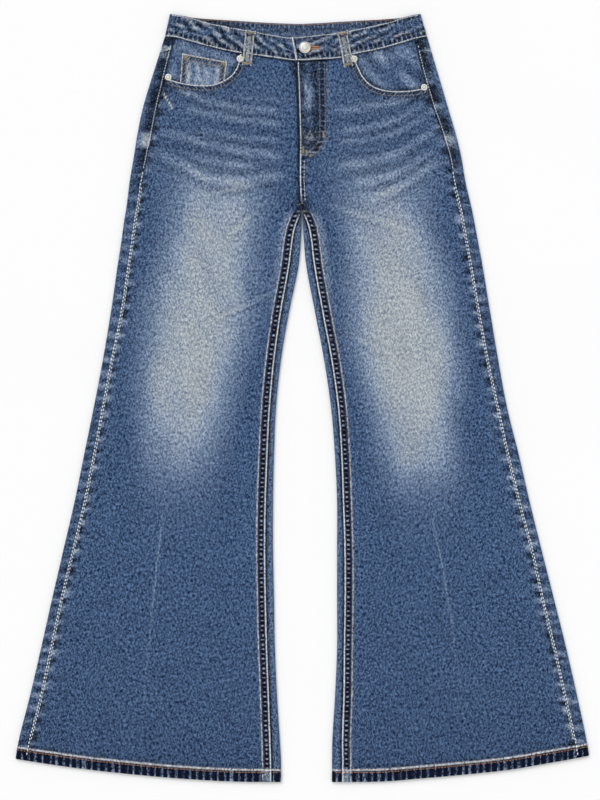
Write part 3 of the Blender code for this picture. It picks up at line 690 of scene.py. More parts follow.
def place(x, y, z):
    """Points in metres, about the garment's middle, from table sizes."""
    x, y, z = np.broadcast_arrays(x, y, z)
    return np.stack((x - MID_ACROSS, y - MID_HEIGHT, z), axis=-1) * MM


def placed(face):
    """A face's points in metres, from its points in table sizes."""
    return place(*np.moveaxis(face, -1, 0))


def on_cloth(across, along):
    """Places on the flat cloth in metres, from table sizes."""
    return np.stack((across, along), axis=-1) * MM


# Unevenness of sewn and worn cloth


def puckers(along, spacing, seed):
    """Uneven puckers along a seam: near 1 on a hump and 0 in a hollow, one of each a spacing."""
    rng = np.random.default_rng(seed)
    count = int(2.6 * (np.max(along) - np.min(along)) / spacing) + 12
    places = np.min(along) - spacing + np.cumsum(rng.uniform(0.3, 0.7, count)) * spacing
    humps = rng.uniform(0.6, 1.0, count)
    hollows = rng.uniform(0.0, 0.35, count)
    return smooth(places, np.where(np.arange(count) % 2, humps, hollows), along)


def crinkle(x, y, size, lean, seed):
    """Small wrinkles of about one size that run along one lean, from -1 to 1."""
    rng = np.random.default_rng(seed)
    total = np.zeros(np.shape(x))
    bend = np.sin(x / (3.1 * size) + 1.7) + np.sin(y / (2.3 * size) + 0.4)
    for _ in range(7):
        turn = lean + rng.normal(0.0, 0.42)
        pitch = size * rng.uniform(0.7, 1.5)
        across = x * math.sin(turn) + y * math.cos(turn) + 0.35 * size * bend
        total = total + np.sin(2 * math.pi * across / pitch + rng.uniform(0, 2 * math.pi))
    return np.clip(total / 3.4, -1.0, 1.0)


def crease_line(row, x, y):
    """1 along a crease and 0 past its ends, how far off its ridge in its own widths, and its rise."""
    crease = dict(zip(CREASE, row))
    ends = [(crease[end + "_x"], crease[end + "_h"]) for end in ("inner", "middle", "outer")]
    xs, hs = np.array(sorted(ends)).T
    along = ease((x - xs[0] + 12) / 30) * ease((xs[-1] + 12 - x) / 30)
    return along, (y - smooth(xs, hs, x)) / crease["width"], crease["rise"]


def creases(side, x, y):
    """Rise of the hip creases: each is a soft ridge along an arc through its three places."""
    total = np.zeros(np.shape(x))
    for row in SIDES[side]["creases"]:
        along, off, rise = crease_line(row, x, y)
        total = total + rise * along * np.exp(-off * off)
    return total


def in_hem(above_hem):
    """1 in the turned-up hem, 0 above it, with a short step between."""
    return 1 - ease((above_hem - HEM_DEPTH) / HEM_STEP)


def on_upper(z, radius):
    """1 on the upper face of a turned piece, 0 on its lower face."""
    return ease((z - radius) / 1.4)


def hem_light(above_hem):
    """How light the drawn-up cloth of the hem is: most along its lower edge."""
    return 0.62 + 0.5 * bell(above_hem, 3.0)


def hem_lip(above_hem):
    """The worn line along the hem's upper edge."""
    return 0.75 * bell(above_hem - HEM_DEPTH - 1.6, 1.1)


def under_crotch(y):
    """1 on the legs, 0 above the crotch."""
    return 1 - ease((y - CROTCH_HEIGHT + 6) / 8)


def draw_up(rope, amount, here, cycles, light):
    """Draw the cloth up along one more seam, with that seam's own cycles and light where here is true."""
    rope[..., AMOUNT] = np.maximum(rope[..., AMOUNT], amount)
    rope[..., CYCLES] = np.where(here, cycles, rope[..., CYCLES])
    rope[..., LIGHT] = np.where(here, light, rope[..., LIGHT])


def round_off(edge_distance):
    """How much a folded edge of cloth drops away, close to it."""
    return LIP_DROP * part(1 - edge_distance / LIP_REACH) ** 2


def front_under(side, x, y, above_hem):
    """Height of the front panel's under face."""
    inward = SIDES[side]["inward"]
    to_side = np.maximum(inward * (x - side_edge(side, y)), 0)
    to_inner = np.maximum(inward * (inner_edge(side, y) - x), 0)
    below_crotch = 1 - ease((y - CROTCH_HEIGHT) / 26)
    pocket = SIDES[side]["pocket"]
    facing = FACING_RISE * (1 - ease((distance(pocket, x, y) - 14) / 45))
    band = WAIST_RISE * (1 - ease((waist(FRONT_SEAM, x) - y) / WAIST_REACH))
    if side == "right":
        over_coin = [p for p in pocket if COIN_FOOT[0] - 6 < p[0] < COIN_FOOT[1] + 8]
        facing = facing + COIN_RISE * (1 - ease((distance(over_coin, x, y) - 9) / 35))
        band = band * ease((to_inner - 22) / 25)
        fly = 0.0
    else:
        width = 14 + (FLY_WIDTH - 14) * ease((y - FLY_BOTTOM) / 22)
        fly = FLY_RISE * (1 - ease((to_inner - width) / 20)) * ease((y - CROTCH_HEIGHT) / 12)
    rise = SEAM_RISE * (1 - ease(to_side / SEAM_REACH))
    rise = np.maximum(rise, SEAM_RISE * (1 - ease(to_inner / SEAM_REACH)) * below_crotch)
    rise = np.maximum(rise, np.maximum(facing, band))
    rise = np.maximum(rise, np.maximum(fly, HEM_RISE * in_hem(above_hem)))
    return FRONT_REST + rise + creases(side, x, y)


# Finishes


def add_node(tree, kind, inputs=None, **settings):
    """A node with some of its inputs and settings set. An input given as a socket is linked."""
    node = tree.nodes.new(kind)
    for name, value in settings.items():
        setattr(node, name, value)
    for name, value in (inputs or {}).items():
        if isinstance(value, bpy.types.NodeSocket):
            tree.links.new(value, node.inputs[name])
        else:
            node.inputs[name].default_value = value
    return node


def calculate(tree, operation, first, second=0.0, third=0.0):
    node = add_node(tree, "ShaderNodeMath", {0: first, 1: second, 2: third}, operation=operation)
    return node.outputs[0]


def noise(tree, vector, scale, detail=2.0, roughness=0.6, distortion=0.0):
    inputs = {"Vector": vector, "Scale": scale, "Detail": detail}
    inputs |= {"Roughness": roughness, "Distortion": distortion}
    return add_node(tree, "ShaderNodeTexNoise", inputs, noise_dimensions="2D").outputs[0]


def stretched(tree, vector, scale, turn=0.0):
    inputs = {"Vector": vector, "Scale": (*scale, 1.0), "Rotation": (0.0, 0.0, turn)}
    return add_node(tree, "ShaderNodeMapping", inputs).outputs["Vector"]


def colour_steps(tree, value, low, middle, high):
    """Three colours: low yarns, the cloth's own and high yarns."""
    node = add_node(tree, "ShaderNodeValToRGB", {"Fac": value})
    stops = node.color_ramp.elements
    stops[0].position = 0.1
    stops[0].color = (*low, 1.0)
    stops[1].position = 0.9
    stops[1].color = (*high, 1.0)
    stops.new(0.5).color = (*middle, 1.0)
    return node.outputs["Color"]


def blend(tree, share, first, second):
    node = add_node(tree, "ShaderNodeMix", data_type="RGBA", clamp_factor=True)
    tree.links.new(share, node.inputs[0])
    tree.links.new(first, node.inputs[6])
    if isinstance(second, bpy.types.NodeSocket):
        tree.links.new(second, node.inputs[7])
    else:
        node.inputs[7].default_value = (*second, 1.0)
    return node.outputs[2]


def new_material(name, roughness, **shader_inputs):
    material = bpy.data.materials.new(name)
    material.use_nodes = True
    tree = material.node_tree
    shader = tree.nodes["Principled BSDF"]
    shader.inputs["Roughness"].default_value = roughness
    for key, value in shader_inputs.items():
        shader.inputs[key.replace("_", " ")].default_value = value
    return material, tree, shader


def attribute(tree, name, output="Vector"):
    return add_node(tree, "ShaderNodeAttribute", attribute_name=name).outputs[output]


def three_parts(tree, vector):
    return add_node(tree, "ShaderNodeSeparateXYZ", {"Vector": vector}).outputs


def map_range(tree, value, low, high, new_low, new_high):
    inputs = {"Value": value, "From Min": low, "From Max": high, "To Min": new_low, "To Max": new_high}
    return add_node(tree, "ShaderNodeMapRange", inputs).outputs["Result"]


def bump_up(tree, shader, height, strength, distance):
    """Small relief on a shader's surface."""
    inputs = {"Height": height, "Strength": strength, "Distance": distance}
    bump = add_node(tree, "ShaderNodeBump", inputs)
    tree.links.new(bump.outputs["Normal"], shader.inputs["Normal"])


def off_middle(tree, value, middle, share, start):
    """start plus a share of how far a value is from its middle."""
    return calculate(tree, "MULTIPLY_ADD", calculate(tree, "SUBTRACT", value, middle), share, start)


def yarn_grain(tree, cut):
    """The lightness of single yarns, about 0.5 in the middle: twill, slubs, flecks and loose fibres."""
    inputs = {
        "Vector": stretched(tree, cut, (1.0, 1.0), math.radians(-58)),
        "Scale": 0.314 / denim_settings().twill,
        "Distortion": 1.6,
        "Detail": 1.0,
        "Detail Scale": 1.2,
    }
    lines = add_node(tree, "ShaderNodeTexWave", inputs).outputs[0]
    flecks = noise(tree, cut, YARNS, 1.0, 0.7)
    slubs = noise(tree, stretched(tree, cut, (YARNS, YARN_RUNS)), 1.0, 1.0, 0.6)
    slants = []
    for turn in (0.75, -0.85):
        slanted = stretched(tree, cut, (1.0, 1.0), turn)
        slants.append(noise(tree, stretched(tree, slanted, (YARNS, YARN_RUNS)), 1.0, 1.0, 0.5))
    curls = noise(tree, cut, 150.0, 1.0, 0.5, 2.4)
    patches = noise(tree, cut, 30.0, 3.0, 0.6)
    off_curl = calculate(tree, "ABSOLUTE", calculate(tree, "SUBTRACT", curls, 0.5))
    fibres = map_range(tree, off_curl, 0.0, 0.03, 1.0, 0.0)
    total = 0.5
    layers = (
        (flecks, 4.4), (slubs, 3.3), (slants[0], 3.2), (slants[1], 2.9), (patches, 0.3), (lines, 0.25),
    )
    for layer, share in layers:
        total = off_middle(tree, layer, 0.5, share, total)
    return off_middle(tree, fibres, 0.3, 0.16, total), lines


def drawn_up(tree, grain):
    """How much a seam draws the cloth up, and the colour along it: light worn ticks, and painted shade in
    the hollows between them.
    """
    settings = denim_settings()
    amount, cycles, light = three_parts(tree, attribute(tree, "rope"))
    inputs = {"W": cycles, "Scale": 0.9, "Detail": 2.0, "Roughness": 0.7}
    uneven = add_node(tree, "ShaderNodeTexNoise", inputs, noise_dimensions="1D").outputs[0]
    drift = calculate(tree, "MULTIPLY", uneven, 4.5)
    swing = calculate(tree, "SINE", calculate(tree, "MULTIPLY_ADD", cycles, 2 * math.pi, drift))
    tick = calculate(tree, "MULTIPLY", calculate(tree, "MULTIPLY_ADD", swing, 0.75, 0.12), light)
    tick = calculate(tree, "MULTIPLY", tick, calculate(tree, "MULTIPLY_ADD", uneven, 1.6, 0.1))
    tick = off_middle(tree, grain, 0.5, 0.32, tick)
    colour = colour_steps(tree, tick, settings.shadow_low, settings.shadow, settings.tick)
    return amount, colour


def yarn_colours(tree, grain, name):
    """One of the denim's colours, lighter and darker as its yarns are."""
    settings = denim_settings()
    return colour_steps(tree, grain, *(getattr(settings, name + tail) for tail in ("_low", "", "_high")))


def denim():
    """Worn denim: blue, washed and faded yarns, painted shade of pucker-dark yarns and near-black gaps, and
    pale edges that are partly painted highlight, mixed as the piece's own wear and painted shading say.
    """
    settings = denim_settings()
    found = bpy.data.materials.get("worn_denim")
    if found:
        return found
    material, tree, shader = new_material(
        "worn_denim", 0.9, Sheen_Weight=settings.sheen, Sheen_Roughness=0.5, Specular_IOR_Level=0.1
    )
    cut = add_node(tree, "ShaderNodeUVMap", uv_map="cut").outputs["UV"]
    wear = three_parts(tree, attribute(tree, "wear"))
    grain, lines = yarn_grain(tree, cut)
    lightness = calculate(tree, "SUBTRACT", grain, 0.5)
    worn, dark, pale = (
        calculate(tree, "MULTIPLY_ADD", lightness, calculate(tree, "MULTIPLY", channel, share), channel)
        for channel, share in zip(wear, (0.12, -0.4, 0.9))
    )
    blue, washed, faded, shadow = (
        yarn_colours(tree, grain, name) for name in ("blue", "washed", "faded", "shadow")
    )
    colour = blend(tree, calculate(tree, "MULTIPLY", worn, 1.75), blue, washed)
    colour = blend(tree, calculate(tree, "MULTIPLY_ADD", worn, 1.65, -0.72), colour, faded)
    # Painted shade: the dark channel blends towards the shadow colour of the pucker hollows
    colour = blend(tree, dark, colour, shadow)
    amount, rope = drawn_up(tree, grain)
    colour = blend(tree, amount, colour, rope)
    # Pale worn edges and scratches, with painted highlight along raised edges
    colour = blend(tree, pale, colour, settings.edge)
    # Painted shadow: past 1 the dark channel blends on towards the near-black of a deep gap
    colour = blend(tree, calculate(tree, "MULTIPLY_ADD", dark, 2.0, -2.0), colour, settings.gap)
    tree.links.new(colour, shader.inputs["Base Color"])
    relief = calculate(tree, "MULTIPLY_ADD", lines, 0.5, grain)
    bump_up(tree, shader, relief, 0.5, 0.00035)
    return material


def thread(kind):
    """Twisted topstitching thread of one colour, a little dirty here and there."""
    found = bpy.data.materials.get(kind + "_thread")
    if found:
        return found
    colour = tuple(getattr(thread_settings(), kind))
    material, tree, shader = new_material(kind + "_thread", 0.6, Sheen_Weight=0.1, Specular_IOR_Level=0.3)
    at = add_node(tree, "ShaderNodeTexCoord").outputs["Object"]
    twist = noise(tree, at, 900.0, 1.0)
    patches = noise(tree, at, 70.0, 3.0, 0.7)
    low = tuple(0.74 * v for v in colour)
    high = tuple(min(1.0, 1.25 * v) for v in colour)
    share = off_middle(tree, patches, 0.5, 1.1, twist)
    tree.links.new(colour_steps(tree, share, low, colour, high), shader.inputs["Base Color"])
    bump_up(tree, shader, twist, 0.4, 0.0002)
    return material


def nickel():
    """Plated metal, duller and darker in patches."""
    found = bpy.data.materials.get("nickel_plate")
    if found:
        return found
    settings = metal_settings()
    material, tree, shader = new_material("nickel_plate", settings.roughness, Metallic=1.0)
    at = add_node(tree, "ShaderNodeTexCoord").outputs["Object"]
    patches = noise(tree, at, 380.0, 4.0, 0.65)
    # Darker where the hollow mark says: tarnish in the hollows, and painted shade round the button's outer
    # rim
    hollow = attribute(tree, "hollow", "Fac")
    spots = map_range(tree, patches, 0.5, 0.8, 0.0, 0.35)
    share = calculate(tree, "MAXIMUM", spots, hollow)
    halfway = tuple((a + b) / 2 for a, b in zip(settings.nickel, settings.tarnish_and_shade))
    plate = colour_steps(tree, share, settings.nickel, halfway, settings.tarnish_and_shade)
    tree.links.new(plate, shader.inputs["Base Color"])
    rough = map_range(tree, patches, 0.0, 1.0, settings.roughness - 0.08, settings.roughness + 0.16)
    tree.links.new(rough, shader.inputs["Roughness"])
    bump_up(tree, shader, patches, 0.15, 0.0002)
    return material


# Pieces


def mesh_from(bm, name):
    """A mesh with a finished model's faces, which ends that model."""
    mesh = bpy.data.meshes.new(name)
    bm.to_mesh(mesh)
    bm.free()
    return mesh


def put(name, data):
    """An object in the scene that shows a mesh, a light or a camera."""
    thing = bpy.data.objects.new(name, data)
    bpy.context.scene.collection.objects.link(thing)
    return thing


def add_piece(name, mesh, material, replaced=()):
    """An object for a finished mesh, riding on the jeans' one body."""
    mesh.materials.append(material)
    piece = put(name, mesh)
    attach(piece, "root")
    if replaced:
        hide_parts(*replaced)
    return piece


def cloth(name, node, outer, inner, cut, wear, rests_on, rope=None, inside=None):
    """A closed wall of cloth between two faces, each a grid of points of the same size.

    cut is each point's place on the flat cloth, and wear how worn it is, how dark with painted shade and
    how pale with painted highlight. rope says how much it is drawn up by a seam, where it lies along that
    seam and how light the drawn-up cloth is. inside is the wear and painted shading of the other face,
    where it differs.
    """
    rows, columns = outer.shape[:2]
    bm = bmesh.new()
    bmesh.ops.create_grid(bm, x_segments=columns - 1, y_segments=rows - 1, size=0.5)
    spot = bm.verts.layers.int.new("spot")
    for i, vert in enumerate(bm.verts):
        vert[spot] = i
    added = bmesh.ops.extrude_face_region(bm, geom=bm.faces[:], use_keep_orig=True)["geom"]
    for vert in {v for v in added if isinstance(v, bmesh.types.BMVert)}:
        vert[spot] += rows * columns
    points = np.concatenate((outer.reshape(-1, 3), inner.reshape(-1, 3))).tolist()
    for vert in bm.verts:
        vert.co = points[vert[spot]]
    bmesh.ops.recalc_face_normals(bm, faces=bm.faces[:])
    mesh = mesh_from(bm, name)
    spots = np.zeros(len(mesh.vertices), np.int32)
    mesh.attributes["spot"].data.foreach_get("value", spots)
    owners = np.zeros(len(mesh.loops), np.int32)
    mesh.loops.foreach_get("vertex_index", owners)
    layer = mesh.uv_layers.new(name="cut")
    flat = cut.reshape(-1, 2)
    here = spots % len(flat)
    layer.uv.foreach_set("vector", flat[here[owners]].astype(np.float32).ravel())
    both = np.concatenate((wear.reshape(-1, 3), (wear if inside is None else inside).reshape(-1, 3)))
    shown = mesh.attributes.new("wear", "FLOAT_VECTOR", "POINT")
    shown.data.foreach_set("vector", np.clip(both, 0.0, WEAR_AND_SHADING_LIMIT)[spots].astype(np.float32).ravel())
    if rope is not None:
        drawn = mesh.attributes.new("rope", "FLOAT_VECTOR", "POINT")
        drawn.data.foreach_set("vector", rope.reshape(-1, 3)[here].astype(np.float32).ravel())
    mesh.attributes.remove(mesh.attributes["spot"])
    mesh.shade_smooth()
    mesh.set_sharp_from_angle(angle=SHARP_CLOTH)
    piece = add_piece(name, mesh, denim(), (node,))
    return piece


def upper_edge(side):
    """The front panel's upper edge, by the pocket and the waist seam, and how far along their corner is."""
    facts = SIDES[side]
    pocket = rounded(facts["pocket"], 240)
    across = np.linspace(facts["pocket"][-1][0], facts["fly_top"], 160)[1:]
    seam = np.stack((across, waist(FRONT_SEAM, across)), axis=1)
    line = np.concatenate((pocket, seam)) - (0.0, WAIST_GAP)
    along = arc_length(line)
    return line, along, along[len(pocket) - 1]


def press_at(side, y):
    """Where the pressed crease lies at a height, and how clear it is there."""
    table = np.array(SIDES[side]["press"])
    clear = 0.35 + 0.65 * ease((y - 150) / 150)
    clear = clear * ease((y - table[0, 0]) / 40) * ease((table[-1, 0] + 30 - y) / 110)
    return smooth(table[:, 0], table[:, 1], y), clear


def drawn_to_press(side, x, level):
    """A row's across places, with its columns drawn close to the pressed crease."""
    count = len(x)
    reach = 16
    low, high = SIDES[side]["press"][0][0], SIDES[side]["press"][-1][0]
    middle_x = press_at(side, (low + high) / 2)[0]
    outer, inner = side_edge(side, (low + high) / 2), inner_edge(side, (low + high) / 2)
    k = int(round(float((middle_x - outer) / (inner - outer)) * count))
    here = float(press_at(side, np.clip(level, low, high))[0])
    pull = float(ease((level - low + 45) / 40) * ease((high + 45 - level) / 40))
    step = 1.3 * SIDES[side]["inward"]
    anchors = [k - reach, k - 2, k - 1, k, k + 1, k + 2, k + reach]
    close = [here + share * step for share in (-2.4, -1, 0, 1, 2.4)]
    places = [x[k - reach], *close, x[k + reach]]
    drawn = x.copy()
    span = np.arange(k - reach, k + reach + 1)
    drawn[span] = np.interp(span, anchors, places)
    return x + pull * (drawn - x)


def front_grid(side):
    """Places of the front panel's points, from the hem up to the pocket's edge and the waist seam."""
    near = np.array(SEAM_PLACES)
    middle = np.linspace(0, 1, MIDDLE_COLUMNS + 2)[1:-1]
    share = np.concatenate((0 * near, middle, 1 + 0 * near))
    shift = np.concatenate((near, near[-1] * (1 - 2 * middle), -near[::-1]))
    inward = SIDES[side]["inward"]
    rows = []
    levels = np.concatenate((HEM_PLACES, np.arange(HEM_PLACES[-1] + ROW_STEP, HIP_HEIGHT - 1, ROW_STEP)))
    # Across and height hang on each other, so they are worked out in turn until they settle
    for level in levels:
        y = np.full(len(share), level)
        for _ in range(3):
            x = side_edge(side, y) * (1 - share) + inner_edge(side, y) * share + inward * shift
            x = drawn_to_press(side, x, level)
            y = level + hem_rise(side, x, level)
        rows.append((x, y))
    line, along, corner = upper_edge(side)
    at = share * along[-1] + shift
    at[np.argmin(np.abs(at - corner))] = corner
    top = np.stack([np.interp(at, along, line[:, i]) for i in range(2)], axis=1)
    hip_width = inner_edge(side, HIP_HEIGHT) - side_edge(side, HIP_HEIGHT)
    hip_share = share + inward * shift / hip_width
    top_near = side_edge(side, top[:, 1])
    top_share = (top[:, 0] - top_near) / (inner_edge(side, top[:, 1]) - top_near)
    top_share[[0, -1]] = 0.0, 1.0
    length = top[:, 1] - HIP_HEIGHT
    close = np.array(TOP_PLACES)[::-1]
    below = [length - (length - close[0]) * i / HIP_ROWS for i in range(HIP_ROWS)]
    for down in below + [0 * length + d for d in close]:
        t = 1 - down / length
        y = HIP_HEIGHT + length * t
        now = hip_share + (top_share - hip_share) * t
        rows.append((side_edge(side, y) * (1 - now) + inner_edge(side, y) * now, y))
    return np.array(rows).transpose(1, 0, 2)


def thigh_fade(side, x, y):
    """How far the blue is gone from the front of the leg."""
    table = SIDES[side]["fade"]
    middle = column(table, FADE, "middle", y)
    half = column(table, FADE, "half_width", y)
    strength = np.clip(column(table, FADE, "strength", np.clip(y, table[0][0], table[-1][0])), 0, 1.3)
    off = np.abs(x - middle) / half
    mottle = 1 + 0.12 * crinkle(x, y, 55.0, 1.45, SIDES[side]["seed"] + 5)
    return strength * part(1.05 * np.exp(-0.69 * off ** 2.8) - 0.05) * mottle


def front_wear_and_shading(side, x, y, above_hem, to_side, to_inner, to_top):
    """Wear and painted shading of the front panel from the distances to its edges, and how its seams draw
    it up.
    """
    facts = SIDES[side]
    seed = facts["seed"]
    wear = np.zeros((*x.shape, 3))
    rope = np.zeros((*x.shape, 3))
    below_crotch = under_crotch(y)
    wear[..., WORN] = thigh_fade(side, x, y)
    for row in facts["creases"] + facts["faint"]:
        along, off, rise = crease_line(row, x, y)
        uneven = 0.8 + 0.3 * np.sin(x / 9.0 + 3.0 * off)
        depth = (0.45 + 0.55 * rise) * along
        wear[..., WORN] += 0.38 * depth * uneven * np.exp(-((1.7 * off) ** 2))
        # Painted shade in the troughs beside each crease's ridge
        wear[..., SHADE_AND_DARK] += 0.33 * depth * bell(np.abs(off) - 1.15, 0.42)
    press, clear = press_at(side, y)
    wear[..., WORN] += 0.42 * clear * bell(x - press, 1.0)
    # Darker towards the hem and the bottom of the leg; just above the hem a band of painted shade beside
    # its raised edge
    wear[..., SHADE_AND_DARK] += 0.14 * (1 - ease((above_hem - 16) / 110)) + 0.16 * (1 - ease((y - 60) / 300))
    wear[..., SHADE_AND_DARK] += 0.5 * bell(above_hem - HEM_DEPTH - 5.0, 4.0)
    wear[..., SHADE_AND_DARK] += 0.1 * part(crinkle(x, y, 60.0, 1.3, seed + 15))

    ripple = puckers(y, SIDE_PUCKER, seed)
    small = puckers(y, 0.45 * SIDE_PUCKER, seed + 16)
    near = bell(to_side - 2.5, 7.0)
    light = part(0.7 * ripple + 0.3 * small - 0.45)
    wear[..., WORN] += 1.8 * near * light * (0.5 + 0.5 * below_crotch)
    # Painted shade in the hollows between the side seam's puckers, and a painted shadow line along the
    # seam's ditch
    wear[..., SHADE_AND_DARK] += 5.0 * near * part(0.56 - 0.6 * ripple - 0.35 * small)
    strength = 0.55 + 0.45 * ease((y - 560) / 120)
    wear[..., SHADE_AND_DARK] = np.maximum(wear[..., SHADE_AND_DARK], 1.6 * strength * bell(to_side, 1.2))

    band = (1 - ease((to_inner - FELL_WIDTH + 0.4) / 1.0)) * below_crotch
    draw_up(rope, band, True, y / INSEAM_PUCKER, 1.35 * bell(to_inner - 5.8, 2.3))
    # Pale lines along both edges of the felled band: worn edges, and painted highlight on the raised band's
    # edges
    wear[..., PALE_AND_HIGHLIGHT] += 0.5 * below_crotch * bell(to_inner - FELL_WIDTH - 1.0, 0.9)
    wear[..., PALE_AND_HIGHLIGHT] += 0.85 * below_crotch * bell(to_inner - 0.8, 1.0)
    worn_fell = ease((y - 640) / 120) * below_crotch
    wear[..., WORN] += 0.3 * worn_fell * bell(to_inner - 17.0, 5.0)

    hem_zone = in_hem(above_hem)
    draw_up(rope, hem_zone, hem_zone > 0.01, x / HEM_PUCKER, hem_light(above_hem))
    on_fell = ease((to_inner - 1.2) / 0.8) * (1 - ease((to_inner - FELL_WIDTH + 1.4) / 1.2))
    fell_end = hem_zone * band * on_fell
    rope[..., AMOUNT] *= 1 - fell_end
    wear[..., WORN] += 0.9 * fell_end * (0.6 + 0.5 * crinkle(x, y, 5.0, 0.1, seed + 17))
    wear[..., PALE_AND_HIGHLIGHT] += hem_lip(above_hem)

    on_pocket = distance(facts["pocket"], x, y)
    sewn = plateau(on_pocket, 8.6) * ease((y - 930) / 20)
    draw_up(rope, 0.9 * sewn, sewn > 0.01, (facts["inward"] * x + y) / POCKET_PUCKER, 0.85)
    # Darker along the pocket's stitched band; a pale worn line on the pocket's edge, and under the
    # waistband a painted shadow line
    wear[..., SHADE_AND_DARK] += 0.35 * bell(on_pocket - 9, 7.0)
    wear[..., PALE_AND_HIGHLIGHT] += 0.7 * bell(to_top - 0.6, 0.8) * (on_pocket < 4)
    wear[..., SHADE_AND_DARK] = np.maximum(wear[..., SHADE_AND_DARK], 1.5 * bell(to_top, 2.0) * (on_pocket >= 4))
    corner = distance(facts["pocket"][:2], x, y)
    wear[..., SHADE_AND_DARK] += 0.8 * bell(np.maximum(corner - 6.0, 0), 10.0) * (on_pocket > 8)
    if side == "left":
        fly_wear_and_shading(wear, rope, x, y, to_inner)
    else:
        # Painted shadow on the right front beside the raised edge of the fly, wider towards the waist
        beside_fly = centre("fly_edge", y) - x
        wear[..., SHADE_AND_DARK] += 1.7 * bell(np.maximum(beside_fly - 1.4, 0), 1.6) * ease((y - 812) / 8)
        wide = 4.4 + 7.6 * ease((y - 992) / 36)
        wear[..., SHADE_AND_DARK] += 1.4 * plateau(beside_fly, wide) * ease((y - 812) / 8)
        scratch = distance([(-199.0, 983.0), (-186.0, 962.0)], x, y)
        wear[..., PALE_AND_HIGHLIGHT] += 0.75 * bell(scratch, 1.0)
        streak = distance([(-188.0, 997.0), (-164.0, 981.0)], x, y)
        wear[..., WORN] += 0.5 * bell(streak, 2.2)
    # Painted shade where the legs meet at the crotch, with the pale lines dimmed there
    crotch = bell(np.hypot(x + 1.0, (y - 820.0) * 0.7), 12.0)
    wear[..., SHADE_AND_DARK] = np.maximum(wear[..., SHADE_AND_DARK], 1.8 * crotch)
    wear[..., PALE_AND_HIGHLIGHT] *= 1 - 0.8 * crotch
    return wear, rope


def fly_wear_and_shading(wear, rope, x, y, to_inner):
    """Wear and painted shading of the fly: a pale edge, blotches with painted shade between them, and a
    worn line inside the curved stitching.
    """
    on_fly = ease((y - FLY_BOTTOM + 4) / 10)
    on_centre = ease((y - 826) / 8)
    between = on_fly * (1 - ease((to_inner - FLY_STITCH + 3) / 5))
    blotch = 0.45 * puckers(y + 0.2 * x, 23.0, 71) + 0.3 * puckers(y - 0.9 * x, 11.0, 72)
    blotch = blotch + 0.16 + 0.2 * crinkle(y, x, 11.0, 0.2, 73)
    middle = bell(to_inner - 13.0, 8.0)
    streak = bell(np.hypot((x - 7.5 - 2.5 * np.sin(y / 7.0)) / 0.34, y - 981.0), 24.0)
    wear[..., WORN] += between * (0.46 * streak + 1.8 * middle * part(blotch - 0.58))
    # The fly's cloth darker, with painted shade in the hollows between the blotches
    hollow = 0.75 + 3.0 * part(0.5 - blotch) + 0.6 * (1 - middle)
    wear[..., SHADE_AND_DARK] += between * (1 - streak) * hollow
    curve = rounded(FLY_CURVE, 60)
    off_rows = distance(curve, x, y)
    stitched = plateau(distance(beside(curve, 3.6), x, y), 5.4)
    draw_up(rope, 0.85 * stitched, stitched > 0.01, y / 7.5, 1.25 - 0.65 * ease((y - 905) / 25))
    rubbed = part(puckers(y, 14.0, 74) - 0.3)
    wear[..., WORN] += 0.35 * bell(off_rows - 4.0, 3.0) * (x > 30) * rubbed
    wear[..., WORN] += 0.9 * bell(np.hypot((x - 10.0) / 1.6, y - 921.0), 9.0)
    wear[..., PALE_AND_HIGHLIGHT] += 0.8 * on_centre * bell(to_inner - 0.8, 0.8)
    seam = on_centre * (1 - on_fly)
    draw_up(rope, seam * bell(to_inner - 4.6, 3.4), seam > 0.5, y / 8.0, 0.7)


def build_front(side):
    """A front panel: worn creases over the hip, a faded thigh, puckered seams and a roped hem."""
    facts = SIDES[side]
    x, y = front_grid(side)
    seed = facts["seed"]
    above_hem = y - hem(side, x)
    to_side = np.maximum(facts["inward"] * (x - side_edge(side, y)), 0)
    to_inner = np.maximum(facts["inward"] * (inner_edge(side, y) - x), 0)
    line = upper_edge(side)[0][::4]
    high = y > 940
    to_top = np.full(x.shape, FAR)
    to_top[high] = distance(line, x[high], y[high])
    below_crotch = under_crotch(y)
    relief = PUCKER_DEPTH * bell(to_side, 9) * (puckers(y, SIDE_PUCKER, seed) - 0.4)
    fell = (1 - ease((to_inner - FELL_WIDTH + 0.6) / 1.6)) * below_crotch
    relief += fell * (FELL_RISE + 0.35 * PUCKER_DEPTH * (puckers(y, INSEAM_PUCKER, seed + 1) - 0.4))
    zone = in_hem(above_hem)
    relief += 0.9 * PUCKER_DEPTH * zone * (puckers(x, HEM_PUCKER, seed + 2) - 0.5)
    ripple_above = bell(above_hem - HEM_DEPTH, 14) * (1 - zone)
    relief += 0.35 * ripple_above * (puckers(x, HEM_PUCKER, seed + 2) - 0.5)
    on_pocket = bell(distance(facts["pocket"], x, y), 8.0)
    relief += 0.3 * on_pocket * (puckers(facts["inward"] * x + y, 9.0, seed + 3) - 0.4)
    relief += 0.16 * crinkle(x, y, 46.0, 1.2, seed + 6) * ease((y - 120) / 120)
    relief += 0.14 * crinkle(x, y, 17.0, 0.25, seed + 7) * ease((y - 840) / 40)
    press, clear = press_at(side, y)
    relief += 0.3 * clear * bell(x - press, 2.6)
    under = front_under(side, x, y, above_hem) + np.maximum(relief, -0.3)
    thick = DENIM + (HEM_DENIM - DENIM) * zone
    edge = np.minimum(np.minimum(to_side, to_inner), np.minimum(above_hem, to_top))
    top = under + thick - round_off(edge)
    cut = on_cloth(x, y)
    wear, rope = front_wear_and_shading(side, x, y, above_hem, to_side, to_inner, to_top)
    shell = (place(x, y, top), place(x, y, under))
    return cloth(side + "_front_panel", side + "_front", *shell, cut, wear, [side + "_back_panel"], rope)


